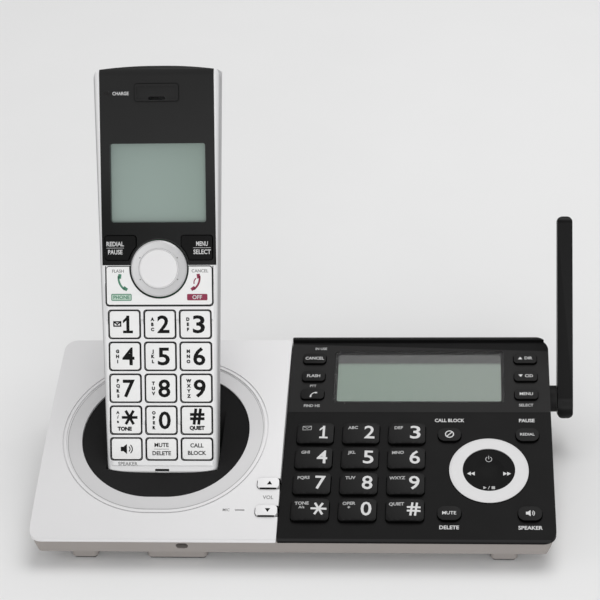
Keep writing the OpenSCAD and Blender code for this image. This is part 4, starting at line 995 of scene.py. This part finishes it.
# Signs on the round control
SKIP_Y = -1.8
SKIP_X = (8.3, 6.7)
POWER_Y = 5.7
PLAY_Y = -9.0
nav_icons = [triangle(2.0, 1.6, side * x, SKIP_Y, -90 * side) for side in (-1, 1) for x in SKIP_X]
nav_faint = [
    arc(1.25, 120, 420, 0.3, 0, POWER_Y), stroke([(0, POWER_Y + 0.2), (0, POWER_Y + 1.6)], 0.3),
    triangle(1.5, 1.4, -1.7, PLAY_Y, -90), stroke([(-0.4, PLAY_Y - 0.7), (0.2, PLAY_Y + 0.7)], 0.25),
    rectangle(1.4, 1.4, 1.7, PLAY_Y),
]
lay("round_control_print", "round_control", ink_white, nav_icons, on_disc)
lay("round_control_small_print", "round_control", ink_pale, nav_faint, on_disc)

# Volume keys and words on the silver top
for node, y, turn in (("volume_up_key", VOL_UP_Y, 0), ("volume_down_key", VOL_DOWN_Y, 180)):
    lay(node + "_print", node, dark_ink_and_slot_shade, [triangle(2.2, 1.7, 0.6, 0, turn)],
        crowned_on(silver, VOL_X, y, VOL_PROUD))
silver_words = [("VOL", VOL_X + 0.3, (VOL_UP_Y + VOL_DOWN_Y) / 2, 1.6), ("MIC", MIC_X - 5.6, MIC_Y, 1.2)]
lay("silver_print", "base", ink_grey, [words(t, h, x, y) for t, x, y, h in silver_words], flat_on(silver))

# Dial keys of the handset: a large sign on the right, letters stacked on the left
HS_SIGN_X = 1.5
HS_STACK_X = -3.1
HS_WORD_H = 1.75


def handset_key_print(name):
    if name == "star":
        sign = star_sign(5.5, 1.6, 1.2, width=1.15) + [words("TONE", HS_WORD_H, -0.6, -3.6, TINY)]
        return sign + stacked("A/a", 1.35, 1.9, -3.4, 1.4, TINY)
    if name == "hash":
        return hash_sign(4.9, 5.6, 0.3, 1.6, width=1.2) + [words("QUIET", HS_WORD_H, 0.2, -3.2, TINY)]
    sign = digit(name, height=7.4, width=5.1, stem=1.3, x=HS_SIGN_X, y=0, bold=MEDIUM)
    if name == "1":
        return sign + envelope_icon(2.9, 1.8, -3.0, 0.2, width=0.55)
    if name == "0":
        return sign + stacked("OPER", 1.45, 2.1, HS_STACK_X, 0, STACKED)
    return sign + stacked(LETTERS[name], 1.5, 2.15, HS_STACK_X, 0, STACKED)


for i, name in enumerate(DIAL_NAMES):
    node = "handset_key_" + name
    lay(node + "_print", node, dark_ink_and_slot_shade, handset_key_print(name),
        on_face_key(HS_KEY_X[i % 3], HS_ROW_Z[i // 3]))

# Lower keys of the handset
MUTE_Y = 1.75
BLOCK_Y = 1.6
DIVIDER_T = 0.15
low_labels = {
    "handset_speaker_key": speaker_icon(4.8),
    "handset_mute_key": [words("MUTE", HS_WORD_H, 0, MUTE_Y, STRONG), rectangle(6.4, DIVIDER_T),
                         words("DELETE", HS_WORD_H, 0, -MUTE_Y, STRONG)],
    "handset_block_key": [words("CALL", HS_WORD_H, 0, BLOCK_Y, STRONG),
                          words("BLOCK", HS_WORD_H, 0, -BLOCK_Y, STRONG)],
}
for x, (node, shapes) in zip(HS_KEY_X, low_labels.items()):
    lay(node + "_print", node, dark_ink_and_slot_shade, shapes, on_face_key(x, HS_LOW_Z))

# Soft keys of the handset: two words with a line between them
SOFT_H = 1.9
SOFT_Y = 1.7
SOFT_LETTER_W = 1.22
for side, across, upper, lower in (("left", -1, "REDIAL", "PAUSE"), ("right", 1, "MENU", "SELECT")):
    node = "handset_soft_key_" + side
    lay(node + "_print", node, ink_white,
        [words(upper, SOFT_H, 0, SOFT_Y, MEDIUM, SOFT_LETTER_W * len(upper)), rectangle(7.4, DIVIDER_T),
         words(lower, SOFT_H, 0, -SOFT_Y, MEDIUM, SOFT_LETTER_W * len(lower))],
        on_face(across * SOFT_LABEL_X, SOFT_Z, HS_PROUD))

# Talk and off plate: receivers over boxed words, and small words above
CALL = "handset_call_plate"
CALL_X = 16.0
CALL_BOX_Z = 74.5
CALL_ICON_X = CALL_X + 0.6
CALL_ICON_Z = 80.2
CALL_ICON = 6.6
CALL_TURN = 24
CALL_WORD_X = 17.3
CALL_WORD_Z = 85.5
CALL_WORD_H = 1.3
on_plate = on_face(0, 0, HS_PROUD)
over_print = on_face(0, 0, HS_PROUD + LIFT)
phone_icon = handset_icon(CALL_ICON, 1, CALL_TURN, -CALL_ICON_X, CALL_ICON_Z)
phone_box = round_box_line(8.6, 2.9, 0.5, width=0.35, x=-CALL_X, y=CALL_BOX_Z)
phone_word = words("PHONE", 1.5, -CALL_X, CALL_BOX_Z, MEDIUM)
off_icon = handset_icon(CALL_ICON, -1, -CALL_TURN, CALL_ICON_X, CALL_ICON_Z)
off_box = round_box(8.6, 2.7, 0.5, CALL_X, CALL_BOX_Z)
off_wave = turned([arc(2.2, -35, 35, 0.45)], 160, CALL_X + 0.9, CALL_ICON_Z + 0.4)
small_words = [words("FLASH", CALL_WORD_H, -CALL_WORD_X, CALL_WORD_Z),
               words("CANCEL", CALL_WORD_H, CALL_WORD_X, CALL_WORD_Z)]
lay("call_print_pale", CALL, ink_mint, [round_box(8.2, 2.5, 0.4, -CALL_X, CALL_BOX_Z)], on_plate)
lay("call_print_green", CALL, ink_green, phone_icon + [phone_box, phone_word], over_print)
lay("call_print_red", CALL, ink_red, off_icon + [off_box] + off_wave, on_plate)
lay("call_print_white", CALL, ink_white, [words("OFF", 1.7, CALL_X, CALL_BOX_Z, MEDIUM)], over_print)
lay("call_print_grey", CALL, ink_grey, small_words, on_plate)

# Painted shade round the openings of the handset's face and in its microphone notch, and the words and
# marks on it
GAP_LINE = 0.45
GAP_R = 1.4
GAP_W = HS_KEY_W + 1.5
GAP_RISE = 1.4
PLATE_LINE = 0.4
key_rows = [(HS_LOW_Z, HS_LOW_KEY_H)] + [(z, HS_KEY_H) for z in HS_ROW_Z]
gap_shade_lines = [round_box_line(GAP_W, h + GAP_RISE, GAP_R, GAP_LINE, x, z)
             for x in HS_KEY_X for z, h in key_rows]
plate_side = [(PLATE_X - PLATE_R, PLATE_LOW), (PLATE_X - 0.3 * PLATE_R, PLATE_LOW + 0.3 * PLATE_R),
              (PLATE_X, PLATE_LOW + PLATE_R), (PLATE_X, PLATE_TOP)]
gap_shade_lines.append(stroke([(-x, z) for x, z in reversed(plate_side)] + plate_side, PLATE_LINE))
ear_shade_line = round_box_line(EAR_W + 2 * GAP_LINE, EAR_H + 2 * GAP_LINE, 1.5, GAP_LINE, 0, EAR_Z)
mic_notch_shade = round_box(6.0, 1.0, r=0.3, x=0, y=1.4)
speaker_word = words("SPEAKER", height=1.5, x=-14.5, y=4.1)
charge_word = words("CHARGE", height=1.4, x=-15.1, y=CHARGE_Z, bold=MEDIUM, width=6.8)
lay("key_gap_shade", "handset", shade_black, gap_shade_lines, on_front)
lay("mic_shade", "handset", shade_black, [mic_notch_shade], on_front)
lay("face_print", "handset", ink_grey, [speaker_word], on_front)
lay("fascia_print", "handset", ink_white, [charge_word], on_face(0, 0))
lay("ear_frame_shade", "handset", shade_black, [ear_shade_line], on_face(0, 0))

# Four dots on the ring of the navigation pad
TICK_R = 0.3
TICK_RING_R = PAD_MID_R + 0.9
tick_angles = [math.radians(a) for a in (30, 150, 210, 330)]
pad_ticks = [disc(TICK_R, TICK_RING_R * math.cos(a), TICK_RING_R * math.sin(a), 10) for a in tick_angles]
lay("handset_nav_pad_print", "handset_nav_pad", ink_grey, pad_ticks, on_face(0, PAD_Z, PAD_PROUD))


# Lamp, contacts, screws and socket wires

def stack(name, body, mat, layers, place):
    """Closed piece from outlines of equal count, each at its own height over the surface of place."""
    verts, faces = [], []
    count = len(layers[0][0])
    for outline, n in layers:
        verts += [place(u, v, n) for u, v in outline]
    for level in range(len(layers) - 1):
        for i in range(count):
            a, b = level * count + i, level * count + (i + 1) % count
            faces.append((a, b, b + count, a + count))
    faces.append(tuple(reversed(range(count))))
    faces.append(tuple(range(len(verts) - count, len(verts))))
    mesh = bpy.data.meshes.new(name)
    mesh.from_pydata(verts, [], faces)
    turn_out = bmesh.new()
    turn_out.from_mesh(mesh)
    bmesh.ops.recalc_face_normals(turn_out, faces=turn_out.faces[:])
    turn_out.to_mesh(mesh)
    turn_out.free()
    add_piece(name, body, mat, mesh)


def button(w, h, r, high, bevel):
    """Layers of a sunk, round-cornered plate with a bevelled upper edge."""
    outline = round_box(w, h, r)[0]
    return [(outline, -SUNK), (outline, high - bevel),
            (round_box(w - 2 * bevel, h - 2 * bevel, r - bevel / 2)[0], high)]


stack("charge_lamp", "handset", lamp_dark, button(2.6, 1.5, 0.6, high=0.12, bevel=0.1),
      lambda u, v, n: handset(LAMP_X + u, -n, CHARGE_Z + v))
charge_contact = button(3.6, 2.4, 0.5, high=0.1, bevel=0.08)
cradle_contact = button(2.8, 1.8, 0.5, high=0.25, bevel=0.12)
for side_name, side in (("left", -1), ("right", 1)):
    stack("charge_contact_" + side_name, "handset", contact_metal, charge_contact,
          lambda u, v, n: handset(side * CONTACT_X + u, HEEL_Y + v, -n))
    stack("cradle_contact_" + side_name, "base", contact_metal, cradle_contact,
          lambda u, v, n: handset(side * CONTACT_X + u, HEEL_Y + v, n - POCKET_GAP))

screw_rings = [(disc(SCREW_R)[0], -SUNK), (disc(SCREW_R)[0], SCREW_HEAD - 0.3),
               (disc(SCREW_R - 0.4)[0], SCREW_HEAD)]
screw_slot_shade = [rectangle(SLOT_LEN, SLOT_W), rectangle(SLOT_W, SLOT_LEN)]
for x_name, x in (("left", SCREW_X), ("right", BASE_W - SCREW_X)):
    for y_name, y in (("front", SCREW_Y), ("back", BASE_D - SCREW_Y)):
        corner = y_name + "_" + x_name
        stack("screw_" + corner, "base", screw_metal, screw_rings,
              lambda u, v, n: row(x + u, y - v, SCREW_Z - n))
        # The slots are painted shade, a dark cross laid on each head
        lay("screw_slot_shade_" + corner, "base", dark_ink_and_slot_shade, screw_slot_shade,
            lambda u, v: row(x + u, y - v, SCREW_Z - SCREW_HEAD - LIFT))

wire = [(-WIRE_W / 2, 0.0), (WIRE_W / 2, 0.0), (WIRE_W / 2, WIRE_T), (-WIRE_W / 2, WIRE_T)]
for i in range(WIRE_COUNT):
    x = SOCKET_X + WIRE_PITCH * (i - (WIRE_COUNT - 1) / 2)
    stack("socket_wire_%d" % (i + 1), "base", contact_metal, [(wire, 0.0), (wire, 0.5), (wire, 1.0)],
          lambda u, v, n: row(x + u, BASE_D - WIRE_DEPTH + WIRE_LEN * n,
                              SOCKET_TOP - v - WIRE_DROP * (1 - n)))

# Floor, light and camera, in metres and watts

FLOOR_SIZE = 6.0
SKY = 0.45

# Name, place, target, size and power of each light
LIGHTS = [
    ("top light", (0.25, 0.5, 1.25), (0, 0, 0.05), (1.0, 0.8), 9),
    ("front light", (0.2, -1.4, 0.55), (0, 0, 0.08), (1.2, 0.8), 9),
    ("left light", (-1.3, -0.2, 0.7), (0, 0, 0.05), (0.8, 0.8), 2),
]

floor_mat = material("floor", grey(0.80), rough=0.7, spread=0.01, patch=0.05, grain=0.01, bump=0.0)
bpy.ops.mesh.primitive_plane_add(size=FLOOR_SIZE, location=(0, 0, 0))
floor = bpy.context.object
floor.name = "floor"
floor.data.materials.append(floor_mat)

world = bpy.data.worlds.new("studio")
world.use_nodes = True
world.node_tree.nodes["Background"].inputs["Color"].default_value = (1, 1, 1, 1)
world.node_tree.nodes["Background"].inputs["Strength"].default_value = SKY
scene.world = world


def area_light(name, place, target, size, power):
    data = bpy.data.lights.new(name, "AREA")
    data.shape = "RECTANGLE"
    data.size, data.size_y = size
    data.energy = power
    lamp = bpy.data.objects.new(name, data)
    lamp.location = place
    lamp.rotation_mode = "QUATERNION"
    lamp.rotation_quaternion = (Vector(target) - Vector(place)).to_track_quat("-Z", "Y")
    scene.collection.objects.link(lamp)


for light in LIGHTS:
    area_light(*light)

# The camera's place in millimetres and its angles come from a pinhole fit to the photo
CAMERA_PLACE = (65.17, -577.72, 465.94)
YAW = math.radians(4.2158)
PITCH = math.radians(33.3973)
ROLL = math.radians(-2.4802)
SENSOR = 36
LENS = 100.47
SHIFT_X = -0.10
camera_data = bpy.data.cameras.new("camera")
camera_data.sensor_width = SENSOR
camera_data.lens = LENS
camera_data.shift_x = SHIFT_X
camera = bpy.data.objects.new("camera", camera_data)
scene.collection.objects.link(camera)
camera.location = Vector(CAMERA_PLACE) * MM
forward = Vector((-math.sin(YAW) * math.cos(PITCH), math.cos(YAW) * math.cos(PITCH), -math.sin(PITCH)))
right = Vector((math.cos(YAW), math.sin(YAW), 0))
up = right.cross(forward)
level_right = right * math.cos(ROLL) + up * math.sin(ROLL)
level_up = up * math.cos(ROLL) - right * math.sin(ROLL)
camera.rotation_mode = "QUATERNION"
camera.rotation_quaternion = Matrix((level_right, level_up, -forward)).transposed().to_quaternion()
scene.camera = camera

scene.view_settings.view_transform = "Standard"
scene.view_settings.look = "None"
